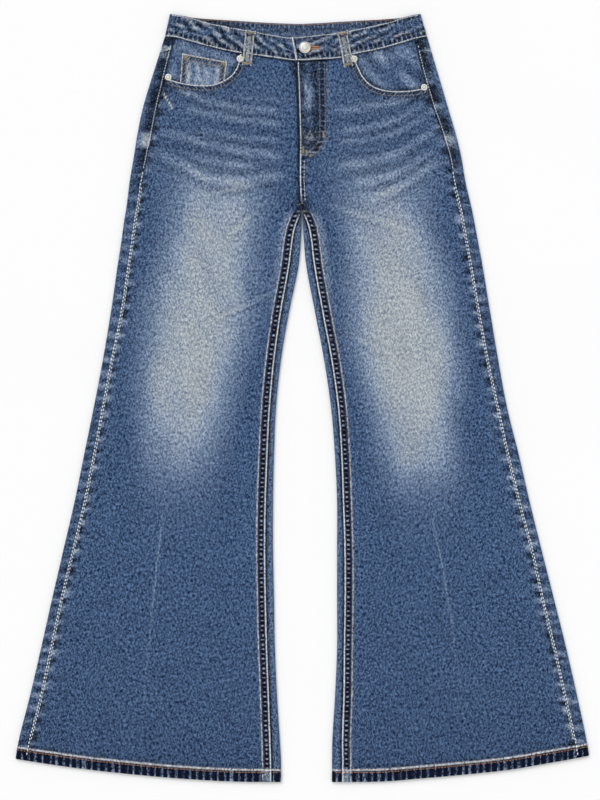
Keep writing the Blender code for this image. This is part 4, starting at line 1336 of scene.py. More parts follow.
def turned_row(side_turn, radius, thick, fold, inseam_turn, folds_inner):
    """One row of a piece that starts on the upper face, turns round the outer edge and runs on below.

    Each point is a share of the way from the outer edge to the inner one, a shift from there and a
    height. As fold goes from 0 to 1 the row's end turns up round the inner edge and over the upper face.
    """
    angles = np.linspace(0, math.pi, TURN_STEPS)
    flat = np.linspace(0, 1, FLAT_STEPS + 1)[1:]
    steps_after = (TURN_STEPS - 1 + BACK_BAND_COLUMNS) * folds_inner
    flat_shift = -radius if fold > 0 else -FLAT_TAIL * folds_inner
    even = np.linspace(0, 1, BACK_BAND_COLUMNS + 1)
    band = ease(even) * 0.5 + even * 0.5
    faces = []
    for inset in (0.0, thick):
        r = radius - inset
        shift = [*(side_turn + (radius - side_turn) * band[:-1]), *(radius - r * np.sin(angles))]
        z = [2 * radius - inset] * BACK_BAND_COLUMNS + list(radius + r * np.cos(angles))
        share = [0.0] * len(shift) + list(flat)
        shift += list(radius + (flat_shift - radius) * flat)
        z += [inset] * FLAT_STEPS
        if steps_after and fold > 0:
            turn = angles[1:] * fold
            shift += list(flat_shift + r * np.sin(turn))
            z += list(radius - r * np.cos(turn))
            ahead = band[1:] * max(inseam_turn - radius, 1.2)
            shift += list(shift[-1] + ahead * math.cos(math.pi * fold))
            z += list(z[-1] + ahead * math.sin(math.pi * fold))
        elif steps_after:
            shift += list(np.linspace(flat_shift, 0, steps_after + 1)[1:])
            z += [inset] * steps_after
        share += [1.0] * steps_after
        faces.append(np.array([share, shift, z]))
    return faces


def across_row(side, share, shift, y):
    """Across places of a row's points at their heights."""
    outer = leg(side, "outer", y)
    return outer + (back_edge(side, y) - outer) * share + SIDES[side]["inward"] * shift


def yoke_seam(side, x, upper):
    """The seam between back panel and yoke: it climbs from the middle of the back over the side."""
    outer = leg(side, "outer", YOKE_SIDE_HEIGHT)
    middle = centre("back_seam", YOKE_CENTRE_HEIGHT)
    share = (x - outer) / (middle - outer)
    fall = (YOKE_SIDE_HEIGHT - YOKE_CENTRE_HEIGHT) * share
    return YOKE_SIDE_HEIGHT + np.where(upper, fall, -fall)


def unrolled(points, reference):
    """Places of a turned piece's points on the flat cloth: as far across as it goes round its edges."""
    steps = np.linalg.norm(np.diff(points[..., [0, 2]], axis=1), axis=2)
    along = np.concatenate((np.zeros((len(points), 1)), np.cumsum(steps, axis=1)), axis=1)
    way = np.sign(points[:, -1, 0] - points[:, reference, 0])[:, None]
    across = points[:, reference, 0][:, None] + way * (along - along[:, reference][:, None])
    return np.stack((across, points[..., 1]), axis=-1), along / MM


def turned_wear_and_shading(side, y, from_side, from_inner, from_top):
    """Wear and painted shading of a panel that comes round the leg's edges: puckers beside both seams, with
    painted shade in their hollows.
    """
    seed = SIDES[side]["seed"]
    wear = np.zeros((*y.shape, 3))
    hip = ease((y - 800) / 120)
    ripple = puckers(y, SIDE_PUCKER * 0.8, seed + 8)
    wide = puckers(y, 44.0, seed + 9)
    near = plateau(from_side, 15)
    wear[..., WORN] += near * (1.2 * part(ripple - 0.5) + 1.2 * hip * part(wide - 0.6))
    # Painted shade in the hollows between the puckers beside the side seam, wider over the hip
    hollow = 1.8 * part(0.6 - ripple) + 1.5 * hip * part(0.85 - wide)
    rubbed = bell(y - 918, 12.0)
    wear[..., WORN] += 0.9 * near * rubbed
    hollow = 0.16 + 0.75 * hip * (1 - ease((wide - 0.6) / 0.2)) + hollow
    wear[..., SHADE_AND_DARK] += near * hollow * (1 - 0.8 * rubbed)
    wear[..., WORN] += 0.16 * bell(from_side - 22, 4.0)
    line_shade = 1.0 * ease((640 - y) / 100) + 0.4
    wear[..., SHADE_AND_DARK] = np.maximum(wear[..., SHADE_AND_DARK], line_shade * bell(from_side, 1.0))
    # A painted shadow line in the ditch beside the front's inseam edge, with a darker band beside it
    wear[..., SHADE_AND_DARK] += 1.7 * bell(from_inner - 0.3, 1.9)
    wear[..., SHADE_AND_DARK] += 0.16 * plateau(from_inner, 14)
    wear[..., WORN] += 0.16 * bell(from_inner - 7, 4.0)
    wear[..., WORN] += 0.4 * bell(from_top - 2.5, 2.0) * near
    return wear


def build_back(side):
    """A back panel, from the hem to the yoke, turned up round both edges of its leg."""
    faces = ([], [])
    crotch = np.arange(800.0, 822.0, 1.6)
    levels = np.arange(HEM_PLACES[-1] + ROW_STEP, HIP_HEIGHT - 1, ROW_STEP)
    levels = np.sort(np.concatenate((HEM_PLACES, levels[(levels < 799) | (levels > 823)], crotch)))
    for level in levels:
        zone = float(in_hem(level))
        radius = EDGE_RADIUS + (HEM_RADIUS - EDGE_RADIUS) * zone
        thick = DENIM + (HEM_DENIM - DENIM) * zone
        fold = float(ease((CROTCH_HEIGHT - level) / 9))
        turns = (leg(side, "side_turn", level), leg(side, "inseam_turn", level))
        row = turned_row(turns[0], radius, thick, fold, turns[1], True)
        for face, (share, shift, z) in zip(faces, row):
            y = np.full(len(share), level)
            for _ in range(3):
                x = across_row(side, share, shift, y)
                y = level + hem_rise(side, x, level)
            face.append(np.stack((x, y, z), axis=-1))
    for t in np.linspace(0, 1, BACK_HIP_ROWS):
        level = HIP_HEIGHT + (YOKE_SIDE_HEIGHT - HIP_HEIGHT) * t
        row = turned_row(leg(side, "side_turn", level), EDGE_RADIUS, DENIM, 0.0, 0.0, True)
        for face, (share, shift, z) in zip(faces, row):
            y = np.full(len(share), level)
            for _ in range(3):
                x = across_row(side, share, shift, y)
                y = HIP_HEIGHT + (yoke_seam(side, x, z > EDGE_RADIUS) - YOKE_GAP / 2 - HIP_HEIGHT) * t
            face.append(np.stack((x, y, z), axis=-1))
    outer, inner = np.array(faces[0]), np.array(faces[1])
    reference = BACK_BAND_COLUMNS + TURN_STEPS
    cut, along = unrolled(placed(outer), reference)
    y = outer[..., 1]
    above_hem = y - hem(side, outer[..., 0])
    from_inner = np.where(y < CROTCH_HEIGHT - 6, along[:, -1:] - along, FAR)
    from_top = np.abs(YOKE_SIDE_HEIGHT - y)
    wear = turned_wear_and_shading(side, y, along, from_inner, from_top)
    humps = puckers(outer[..., 0], HEM_PUCKER, SIDES[side]["seed"] + 2)
    zone = in_hem(above_hem)
    rope = np.stack((zone, outer[..., 0] / HEM_PUCKER, hem_light(above_hem)), axis=-1)
    wear[..., SHADE_AND_DARK] += 0.2 * (1 - ease((above_hem - 16) / 110))
    wear[..., PALE_AND_HIGHLIGHT] += hem_lip(above_hem)
    upper = on_upper(outer[..., 2], EDGE_RADIUS)
    ripple = puckers(y, SIDE_PUCKER * 1.05, SIDES[side]["seed"] + 8) - 0.45
    lift = upper * (PUCKER_DEPTH * ripple * plateau(along, 13) + 0.25 * zone * (humps - 0.5))
    lift += upper * 0.2 * ripple * plateau(from_inner, 10)
    edge = np.minimum(along, np.minimum(from_inner, above_hem))
    outer[..., 2] += lift - upper * round_off(edge)
    inner[..., 2] += lift
    shell = (placed(outer), placed(inner))
    return cloth(side + "_back_panel", side + "_back", *shell, cut, wear, ["floor"], rope)


def build_yoke(side):
    """The yoke: between the back panel and the waistband, turned over the side onto the upper face."""
    faces = ([], [])
    for t in np.linspace(0, 1, YOKE_ROWS):
        level = YOKE_SIDE_HEIGHT + (RIGHT_LEG[-1][0] - YOKE_SIDE_HEIGHT) * t
        row = turned_row(leg(side, "side_turn", level), EDGE_RADIUS, DENIM, 0.0, 0.0, False)
        for face, (share, shift, z) in zip(faces, row):
            upper = z > EDGE_RADIUS
            y = np.full(len(share), level)
            for _ in range(4):
                x = across_row(side, share, shift, y)
                low = yoke_seam(side, x, upper) + YOKE_GAP / 2
                high = np.where(upper, waist(FRONT_SEAM, x), back_seam(x)) - WAIST_GAP
                y = low + (high - low) * t
            face.append(np.stack((x, y, z), axis=-1))
    outer, inner = np.array(faces[0]), np.array(faces[1])
    reference = BACK_BAND_COLUMNS + TURN_STEPS
    cut, along = unrolled(placed(outer), reference)
    y = outer[..., 1]
    upper = on_upper(outer[..., 2], EDGE_RADIUS)
    bulk = upper * bell(y - YOKE_SIDE_HEIGHT - 2.0, 4.5)
    wear = turned_wear_and_shading(side, y, along, np.full(y.shape, FAR), np.full(y.shape, FAR))
    wear[..., SHADE_AND_DARK] *= 1 - bulk
    wear[..., WORN] += 0.6 * bulk
    outer[..., 2] += 0.35 * bulk - upper * round_off(along)
    inner[..., 2] += 0.35 * bulk
    shell = (placed(outer), placed(inner))
    return cloth(side + "_back_yoke", side + "_yoke", *shell, cut, wear, ["floor"])


def band_under(x):
    return 2 * BAND_RADIUS - BAND + 0 * x


def lapped_under(x):
    return band_under(x) + OVERLAP_LIFT * ease((LIFT_START - x) / (LIFT_START - LIFT_END))


def band_run(lower, upper, low_edge, high_edge, outer_z, inner_z, steps):
    """A flat stretch of the waistband: sections between two ends, given at the seam and the top edge."""
    shares = np.linspace(0, 1, steps)[:, None]
    depth = np.array(BAND_PLACES)[None, :] / BAND_DEPTH
    low_x = lower[0] + (lower[1] - lower[0]) * shares
    high_x = upper[0] + (upper[1] - upper[0]) * shares
    x = low_x + (high_x - low_x) * depth
    y = low_edge(low_x) + (high_edge(high_x) - low_edge(low_x)) * depth
    return (x, y, outer_z(x) + 0 * y), (x, y, inner_z(x) + 0 * y)


def band_turn(corner, inward, start):
    """Sections round a side of the waistband, from the upper face down or the lower one up."""
    turn = np.linspace(0, math.pi, TURN_STEPS + 2)[1:-1, None]
    depth = np.array(BAND_PLACES)[None, :] / BAND_DEPTH
    edge = corner[0] + (corner[1] - corner[0]) * depth
    y = waist(FRONT_SEAM, corner[0]) * (1 - depth) + waist(FRONT_TOP, corner[1]) * depth
    faces = []
    for r in (BAND_RADIUS, BAND_RADIUS - BAND):
        x = edge + inward * (BAND_RADIUS - r * np.sin(turn))
        z = BAND_RADIUS + start * r * np.cos(turn)
        faces.append((x, y + 0 * x, z + 0 * x))
    return tuple(faces)


def build_waistband():
    """The waistband: one crinkled band whose left end laps over its right end at the front."""

    def seam(x):
        return waist(FRONT_SEAM, x)

    def top(x):
        return waist(FRONT_TOP, x)

    def back_top(x):
        return waist(BACK_TOP, x)

    r = BAND_RADIUS
    right = (RIGHT_CORNER[0] + r, RIGHT_CORNER[1] + r)
    left = (LEFT_CORNER[0] - r, LEFT_CORNER[1] - r)
    runs = [
        band_run(
            (UNDERLAP_END, right[0]), (UNDERLAP_END, right[1]), seam, top,
            lambda x: band_under(x) + BAND, band_under, BAND_FRONT_STEPS,
        ),
        band_turn(RIGHT_CORNER, 1.0, 1.0),
        band_run(
            (right[0], left[0]), (right[1], left[1]), back_seam, back_top,
            lambda x: 0 * x, lambda x: 0 * x + BAND, BAND_BACK_STEPS,
        ),
        band_turn(LEFT_CORNER, -1.0, -1.0),
        band_run(
            (left[0], OVERLAP_END[0]), (left[1], OVERLAP_END[1]), seam, top,
            lambda x: lapped_under(x) + BAND, lapped_under, BAND_FRONT_STEPS,
        ),
    ]
    outer, inner = (np.concatenate([np.stack(run[face], axis=-1) for run in runs]) for face in (0, 1))
    depth = np.broadcast_to(np.array(BAND_PLACES), outer.shape[:2])
    middle = outer[:, len(BAND_PLACES) // 2]
    along = np.broadcast_to(arc_length(middle)[:, None], depth.shape)
    from_end = along[-1, 0] - along
    way = ease((outer[..., 0] + 20) / 40)
    down = crinkle(0.62 * along, depth, 8.5, -0.5, 96)
    up = crinkle(0.62 * along, depth, 8.5, 0.5, 97)
    fold = down * (1 - way) + up * way
    small = crinkle(along, depth, 6.0, 0.1, 93)
    ripple = puckers(along, BAND_PUCKER, 95)
    low_zone = bell(depth - 5.0, 4.6)
    high_zone = bell(depth - BAND_DEPTH + 4.0, 3.2)
    wear = np.zeros((*depth.shape, 3))
    # Worn crests of the crinkles, with painted highlight on their tips, and painted shade in their hollows
    wear[..., WORN] = 1.25 * part(fold - 0.2) + 0.5 * part(small - 0.2)
    wear[..., SHADE_AND_DARK] = 0.14 + 2.6 * part(-fold - 0.2) + 1.1 * part(-small - 0.2)
    wear[..., PALE_AND_HIGHLIGHT] = 0.35 * bell(depth - 0.9, 0.8) + 0.2 * bell(depth - BAND_DEPTH + 0.4, 0.7)
    wear[..., PALE_AND_HIGHLIGHT] += 0.4 * part(fold - 0.66)
    wear[..., PALE_AND_HIGHLIGHT] += 0.95 * bell(from_end - 0.5, 1.2)
    wear[..., SHADE_AND_DARK] += 1.3 * bell(from_end - 3.2, 1.0)
    rope = np.stack((0.85 * low_zone + 0.5 * high_zone, along / BAND_PUCKER, 0.95 + 0 * along), axis=-1)
    # The inside face: darker towards the ends, with painted shade in its fold hollows
    lining = np.zeros(wear.shape)
    towards_ends = ease((np.abs(outer[..., 0]) - 70) / 60)
    lining[..., WORN] = 0.1 + 0.3 * part(small) * (1 - towards_ends)
    lining[..., SHADE_AND_DARK] = 0.35 + 0.9 * towards_ends + 0.4 * part(-fold)
    lining[..., SHADE_AND_DARK] += 0.5 * bell(BAND_DEPTH - depth - 9.0, 2.0)
    upper = on_upper(outer[..., 2], BAND_RADIUS)
    lift = upper * (0.26 * fold + 0.14 * small + 0.3 * (ripple - 0.5) * (low_zone + high_zone))
    edge = np.minimum(np.minimum(depth, BAND_DEPTH - depth), from_end)
    inside = 1 - upper
    outer[..., 2] += lift - upper * round_off(edge)
    inner[..., 2] += lift - 0.3 * inside * bell(BAND_DEPTH - depth, 1.2)
    cut = on_cloth(along, depth)
    shell = (placed(outer), placed(inner))
    lies_on = ["right_front_panel", "left_front_panel"]
    return cloth("waist_band", "waistband", *shell, cut, wear, lies_on, rope, lining)


def build_facing(side):
    """The piece in the pocket opening, sewn to the side seam and the waist, under the front panel."""
    inward = SIDES[side]["inward"]
    foot = rounded(beside(SIDES[side]["pocket"][:-1], inward * FACING_UNDER), FACING_COLUMNS)
    side_top = waist(FRONT_SEAM, side_edge(side, 1060.0)) - WAIST_GAP
    top_x = np.linspace(side_edge(side, side_top), foot[-1, 0] + inward * 2, len(foot))
    top = np.stack((top_x, waist(FRONT_SEAM, top_x) - WAIST_GAP), axis=1)
    t = np.linspace(0, 1, FACING_ROWS)[:, None]
    x = foot[:, 0] * (1 - t) + top[:, 0] * t
    y = foot[:, 1] * (1 - t) + top[:, 1] * t
    x[:, 0] = side_edge(side, y[:, 0]) + inward * (FACING_GAP - SEAM_GAP)
    pocket = SIDES[side]["pocket"]
    to_band = waist(FRONT_SEAM, x) - y
    near_band = 1 - ease(to_band / 16)
    in_opening = ease((inward * (pocket[-1][0] - x) - 6) / 14)
    to_side = inward * (x - side_edge(side, y))
    to_pocket = distance(pocket, x, y)
    folds = crinkle(x, y, 22.0, 1.1, SIDES[side]["seed"] + 10)
    relief = 0.2 * folds * ease(to_side / 8) * ease((to_pocket - 2) / 6) * (side == "left")
    under = FRONT_REST + 0.9 * near_band * in_opening + relief
    wear = np.zeros((*x.shape, 3))
    wear[..., WORN] = 0.06 + 0.34 * part(folds) + 0.15 * bell(to_band - 14, 8.0)
    # Painted shadow along the waistband's, the pocket's and the side seam's edges, and painted shade in the
    # fold hollows
    wear[..., SHADE_AND_DARK] = 1.4 * bell(to_band, 2.4) + 1.0 * bell(to_pocket, 3.4) + 1.5 * bell(to_side, 1.6)
    wear[..., SHADE_AND_DARK] += 0.6 * part(-folds)
    cut = on_cloth(x, y)
    top_z = under + FACING_CLOTH - 0.5 * round_off(to_side)
    name = side + "_facing"
    node = side + "_pocket_facing"
    return cloth(name, node, place(x, y, top_z), place(x, y, under), cut, wear, [side + "_back_panel"])


def coin_point(across, down):
    """A place on the coin pocket: 0 to 1 across, and 0 at its mouth to 1 at its foot."""
    (ax, ay), (bx, by) = COIN_MOUTH
    edge = np.array(RIGHT_POCKET)[:-1]
    foot_x = COIN_FOOT[0] + (COIN_FOOT[1] - COIN_FOOT[0]) * across
    foot_y = smooth(edge[:, 0], edge[:, 1], foot_x) - COIN_UNDER
    x = (ax + (bx - ax) * across) * (1 - down) + foot_x * down
    y = (ay + (by - ay) * across) * (1 - down) + foot_y * down
    return x, y


def build_coin_pocket():
    """The small pocket on the right facing, whose lower end goes under the front panel."""
    near = np.array((0.0, 0.012, 0.028, 0.05, 0.08))
    across = np.concatenate((near, np.linspace(0.1, 0.9, COIN_COLUMNS), 1 - near[::-1]))[None, :]
    down = np.concatenate((near * 1.4, np.linspace(0.14, 1.0, COIN_ROWS)))[:, None]
    x, y = coin_point(across, down)
    width = COIN_MOUTH[1][0] - COIN_MOUTH[0][0]
    to_mouth = down * COIN_DEPTH + 0 * across
    to_edge = np.minimum(across, 1 - across) * width + 0 * down
    edge = np.minimum(to_mouth, to_edge)
    ripple = puckers(x - y, 7.0, 55)
    sewn = plateau(edge, 7.5)
    under = FRONT_REST + FACING_CLOTH + LYING_GAP + 0.16 * sewn * (ripple - 0.4)
    wear = np.zeros((*x.shape, 3))
    streak = crinkle(x, y, 12.0, 1.3, 57)
    wear[..., WORN] = 0.48 + 0.42 * part(streak) - 0.3 * part(-streak)
    wear[..., SHADE_AND_DARK] = 0.5 * bell(to_mouth - 10.5, 2.0)
    wear[..., PALE_AND_HIGHLIGHT] = 0.8 * bell(edge - 0.4, 0.9)
    rope = np.stack((0.95 * sewn, (x - y) / 5.0, 1.0 + 0 * x), axis=-1)
    cut = on_cloth(x, y)
    top = under + COIN_CLOTH - round_off(edge)
    shell = (place(x, y, top), place(x, y, under))
    return cloth("coin_pocket_patch", "coin_pocket", *shell, cut, wear, ["right_facing"], rope)


def loop_frame(ends, t):
    """Middle line of a belt loop at t from 0 at its top to 1, and the direction across it."""
    (top_x, top_y), (low_x, low_y) = ends
    length = math.hypot(low_x - top_x, low_y - top_y)
    across = np.array([low_y - top_y, top_x - low_x]) / length
    return top_x + (low_x - top_x) * t, top_y + (low_y - top_y) * t, across


def build_loop(side, ends):
    """A belt loop: a strap over the waistband, folded at its top and sewn down under the waist seam."""
    t = np.linspace(0.05, 0.96, LOOP_STEPS)
    t = np.concatenate(([0.0, 0.008, 0.02, 0.035], t, [0.972, 0.985, 1.0]))
    places = np.array([0.12, 0.25, 0.35, 0.42, 0.47, 0.5])
    places = np.concatenate((-places[::-1], [0.0], places))
    middle_x, middle_y, across = loop_frame(ends, t)
    head = 1 - ease((t - 0.1) / 0.03)
    width = LOOP_WIDTH + (LOOP_HEAD - LOOP_WIDTH) * head
    reach = places[None, :] * width[:, None]
    x = middle_x[:, None] - across[0] * reach
    y = middle_y[:, None] - across[1] * reach
    low = front_under(side, x[t > 0.74], y[t > 0.74], FAR) + DENIM
    low_under = float(np.max(low)) + LYING_GAP
    top_under = 2 * BAND_RADIUS + LYING_GAP
    bow = LOOP_BOW * np.sin(math.pi * t) ** 0.8
    under = (top_under + (low_under - top_under) * ease((t - 0.5) / 0.45) + bow)[:, None]
    ends_share = np.maximum(head, ease((t - 0.88) / 0.03))
    thick = (STRAP + (LOOP_END_CLOTH - STRAP) * ends_share)[:, None]
    to_edge = (0.5 - np.abs(places))[None, :] * width[:, None]
    length = math.dist(*ends)
    to_end = np.minimum(t, 1 - t)[:, None] * length
    edge = np.minimum(to_edge, to_end)
    rib = 0.22 * bell(to_edge - 2.2, 1.2)
    top = under + thick + rib - 1.3 * round_off(edge)
    wear = np.zeros((*x.shape, 3))
    wear[..., WORN] = 0.92 + 0.2 * crinkle(x, y, 9.0, 0.3, 61)
    wear[..., SHADE_AND_DARK] = 0.32 + 0.8 * bell(to_edge - 3.7, 0.8) + 0.4 * ends_share[:, None]
    wear[..., PALE_AND_HIGHLIGHT] = 0.6 * bell(to_edge - 0.5, 0.9)
    wear[..., SHADE_AND_DARK] += 0.9 * bell((t[:, None] - 0.14) * length, 1.6)
    cut = on_cloth(reach, t[:, None] * length + 0 * x)
    shell = (place(x, y, top), place(x, y, under + 0 * x))
    name = side + "_loop_strap"
    return cloth(name, side + "_belt_loop", *shell, cut, wear, ["waist_band", side + "_front_panel"])


# Topstitching


class Surfaces:
    """The cloth pieces as something to lay stitches on, from above or from below."""

    def __init__(self):
        graph = bpy.context.evaluated_depsgraph_get()
        cloths = [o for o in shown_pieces() if o.type == "MESH" and "wear" in o.data.attributes]
        self.trees = [BVHTree.FromObject(o, graph) for o in cloths]

    def height(self, x, y, way):
        """Height of the cloth at a place, from above where way is 1 and from below where it is -1."""
        start = Vector((*place(x, y, 0.0)[:2], RAY_START * way))
        hits = [tree.ray_cast(start, Vector((0.0, 0.0, -way)))[0] for tree in self.trees]
        heights = [hit.z for hit in hits if hit is not None]
        if not heights:
            return None
        return max(heights) if way > 0 else min(heights)


def lay_stitch(bm, surfaces, first, last, thickness, way=1):
    """One stitch: a short barrel of thread between two needle holes, half sunk in the cloth."""
    heights = [surfaces.height(*end, way) for end in (first, last)]
    if None in heights or abs(heights[0] - heights[1]) > STITCH_STEP:
        return
    sink = (0.12 if way > 0 else 0.38) * thickness
    ends = [Vector((*place(*end, 0.0)[:2], z + sink)) for end, z in zip((first, last), heights)]
    run = ends[1] - ends[0]
    turn = run.to_track_quat("Z", "Y").to_matrix().to_4x4()
    size = Matrix.Diagonal((thickness / 2, thickness / 2, run.length * 0.58, 1.0))
    middle = Matrix.Translation((ends[0] + ends[1]) / 2)
    bmesh.ops.create_uvsphere(bm, u_segments=6, v_segments=3, radius=1.0, matrix=middle @ turn @ size)


def stitch_row(surfaces, line, seed, way=1, pitch=1.0, weight=1.0):
    """A row of slightly crooked stitches on a line. pitch and weight scale their length and thickness."""
    settings = thread_settings()
    rng = np.random.default_rng(seed)
    line = np.asarray(line, float)
    along = arc_length(line)
    step = (settings.length + settings.gap) / MM * pitch
    count = max(1, int(along[-1] / step))
    step = along[-1] / count
    bm = bmesh.new()
    for i in range(count):
        drift = rng.normal(0.0, 0.09, 2)
        length = settings.length / MM * pitch * rng.uniform(0.93, 1.05)
        ends = [(i + 0.5) * step + half * length for half in (-0.5, 0.5)]
        spots = [tuple(np.interp(end, along, line[:, k]) + drift[k] for k in range(2)) for end in ends]
        lay_stitch(bm, surfaces, *spots, settings.thickness * weight * rng.uniform(0.9, 1.1), way)
    return bm


def bar_tack(surfaces, middle, lean, length, width, seed, way=1):
    """A bar tack: close stitches across a short bar. lean turns the bar from straight across."""
    rng = np.random.default_rng(seed)
    along = np.array((math.cos(lean), math.sin(lean)))
    across = np.array((-along[1], along[0]))
    count = max(3, int(length / 0.85))
    bm = bmesh.new()
    for i in range(count):
        start = np.array(middle) + along * ((i + 0.5) / count - 0.5) * length + rng.normal(0, 0.1, 2)
        slant = along * 0.35 * (1 if i % 2 else -1)
        first = start - across * width / 2 - slant
        last = start + across * width / 2 + slant
        lay_stitch(bm, surfaces, tuple(first), tuple(last), thread_settings().thickness * 0.95, way)
    return bm


def stitch_piece(name, kind, rows):
    """One piece of stitching in one thread, from its rows."""
    joined = bmesh.new()
    for bm in rows:
        row = mesh_from(bm, "row")
        joined.from_mesh(row)
        bpy.data.meshes.remove(row)
    if not joined.faces:
        raise RuntimeError(f"no stitch of {name} found the cloth")
    mesh = mesh_from(joined, name)
    mesh.shade_smooth()
    return add_piece(name, mesh, thread(kind))


def up_line(edge, side, offset, low, high):
    """A line up the leg at a distance inwards from one of its edges."""
    y = np.linspace(low, high, 200)
    return np.stack((edge(side, y) + SIDES[side]["inward"] * offset, y), axis=1)


def across_line(edge, offset, start, end):
    """A line across the garment at a height over an edge."""
    x = np.linspace(start, end, 160)
    return np.stack((x, edge(x) + offset), axis=1)


def sew_legs(surfaces):
    """Side seams, inseams and hems."""
    side_rows, edge_rows, fell_rows, hem_rows = [], [], [], []
    for side in SIDES:
        seed = SIDES[side]["seed"]
        inward = SIDES[side]["inward"]
        for offset, low, high, row, pitch, weight in (
            (-1.9, 876.0, 1052.0, 0, 0.9, 1.0),
            (-1.4, 38.0, 872.0, 5, 1.2, 1.5),
            (1.0, 60.0, 850.0, 4, 1.25, 1.1),
        ):
            line = up_line(side_edge, side, offset, low, high)
            side_rows.append(stitch_row(surfaces, line, seed + row, pitch=pitch, weight=weight))
        edge_rows.append(stitch_row(surfaces, up_line(inner_edge, side, -1.2, 2.0, 806.0), seed + 1))
        fell_rows.append(stitch_row(surfaces, up_line(inner_edge, side, -9.4, 2.0, 800.0), seed + 2))
        ends = [leg(side, "outer", 20.0) + inward * 4.0, leg(side, "inner", 20.0) - inward * 4.0]
        line = across_line(lambda x: hem(side, x), HEM_DEPTH - 1.9, *ends)
        hem_rows += [stitch_row(surfaces, line, seed + 3, way) for way in (1, -1)]
    stitch_piece("side_seam_stitches", "cream", side_rows)
    stitch_piece("inseam_edge_stitches", "cream", edge_rows)
    stitch_piece("inseam_fell_stitches", "brown", fell_rows)
    stitch_piece("hem_stitches", "orange", hem_rows)


def sew_waist(surfaces):
    """Waistband: along its seam and its top edge, front and back, and down its lapped end."""
    rows = [
        stitch_row(surfaces, across_line(lambda x: waist(FRONT_SEAM, x), 1.1, -194.0, 174.0), 301),
        stitch_row(surfaces, across_line(back_seam, 1.5, -194.0, 174.0), 303, -1),
        stitch_row(surfaces, [(OVERLAP_END[0] + 1.9, 1033.0), (OVERLAP_END[1] + 1.9, 1061.0)], 304),
    ]
    stitch_piece("waistband_stitches", "cream", rows)
    top = across_line(lambda x: waist(FRONT_TOP, x), -1.6, -187.0, 165.0)
    stitch_piece("front_waist_stitches", "cream", [stitch_row(surfaces, top, 302, pitch=0.8)])
    inside = [
        stitch_row(surfaces, across_line(lambda x: waist(BACK_TOP, x), -1.6, -168.0, 150.0), 305),
        stitch_row(surfaces, across_line(lambda x: waist(BACK_TOP, x), -1.6, -184.0, 162.0), 306, -1),
    ]
    stitch_piece("back_waist_stitches", "orange", inside)


def sew_pockets(surfaces):
    """Pocket openings, and the coin pocket with its bar tacks."""
    edges, seconds = [], []
    for side in SIDES:
        pocket = rounded(SIDES[side]["pocket"], 120)
        inward = SIDES[side]["inward"]
        edges.append(stitch_row(surfaces, beside(pocket, inward * 1.7), 311))
        seconds.append(stitch_row(surfaces, beside(pocket, inward * 7.6), 312))
    stitch_piece("pocket_edge_stitches", "cream", edges)
    coin = []
    for offset in (1.8, 7.6):
        line = np.array([coin_point(a, offset / COIN_DEPTH) for a in np.linspace(0.02, 0.98, 30)])
        coin.append(stitch_row(surfaces, line, 313, pitch=0.85))
        for near in (offset / COIN_WIDTH, 1 - offset / COIN_WIDTH):
            line = np.array([coin_point(near, d) for d in np.linspace(0.02, 0.78, 30)])
            coin.append(stitch_row(surfaces, line, 314, pitch=0.85))
    for at in (0.07, 0.93):
        coin.append(bar_tack(surfaces, coin_point(at, 0.1), -0.2, 6.5, 5.0, 315))
    stitch_piece("pocket_second_stitches", "khaki", seconds + coin)


def sew_fly(surfaces):
    """The fly's edge, its curved double row, the centre seam and their bar tacks."""
    edge = up_line(inner_edge, "left", -1.2, 836.0, 1028.0)
    second = up_line(inner_edge, "left", -6.2, 830.0, 888.0)
    rows = [stitch_row(surfaces, edge, 321), stitch_row(surfaces, second, 324)]
    stitch_piece("fly_edge_stitches", "cream", rows)
    curve = rounded(FLY_CURVE, 90)
    inner = beside(curve, FLY_ROW_GAP)
    rows = [
        stitch_row(surfaces, curve, 322),
        stitch_row(surfaces, inner[inner[:, 0] > 4], 323),
    ]
    stitch_piece("fly_curve_stitches", "khaki", rows)
    tacks = (
        ((0.4, 902.5), math.pi / 2, 10.0, 3.4, 325),
        ((5.2, 898.5), math.pi / 2, 7.5, 3.2, 330),
        ((11.0, 894.6), 1.1, 5.0, 2.6, 331),
        ((29.5, 924.0), math.pi / 2, 9.0, 2.6, 326),
        ((-2.4, 826.0), 0.3, 6.0, 1.8, 327),
        ((2.6, 815.0), -0.5, 3.4, 1.6, 328),
        ((-5.6, 815.0), 0.6, 3.4, 1.6, 329),
    )
    stitch_piece("fly_bar_tacks", "khaki", [bar_tack(surfaces, *tack) for tack in tacks])


def sew_loops(surfaces):
    """Both edges of each belt loop and a bar tack at each of its ends."""
    rows = []
    for ends in (RIGHT_LOOP, LEFT_LOOP):
        t = np.linspace(0.05, 0.95, 30)
        x, y, across = loop_frame(ends, t)
        for reach in (-1, 1):
            offset = reach * (LOOP_WIDTH / 2 - 2.0)
            line = np.stack((x - across[0] * offset, y - across[1] * offset), axis=1)
            rows.append(stitch_row(surfaces, line, 331, pitch=0.85))
        lean = math.atan2(across[1], across[0])
        for at in (0.07, 0.94):
            x_at, y_at, _ = loop_frame(ends, at)
            rows.append(bar_tack(surfaces, (x_at, y_at), lean, LOOP_WIDTH - 1.2, 3.0, 332))
    stitch_piece("belt_loop_stitches", "khaki", rows)


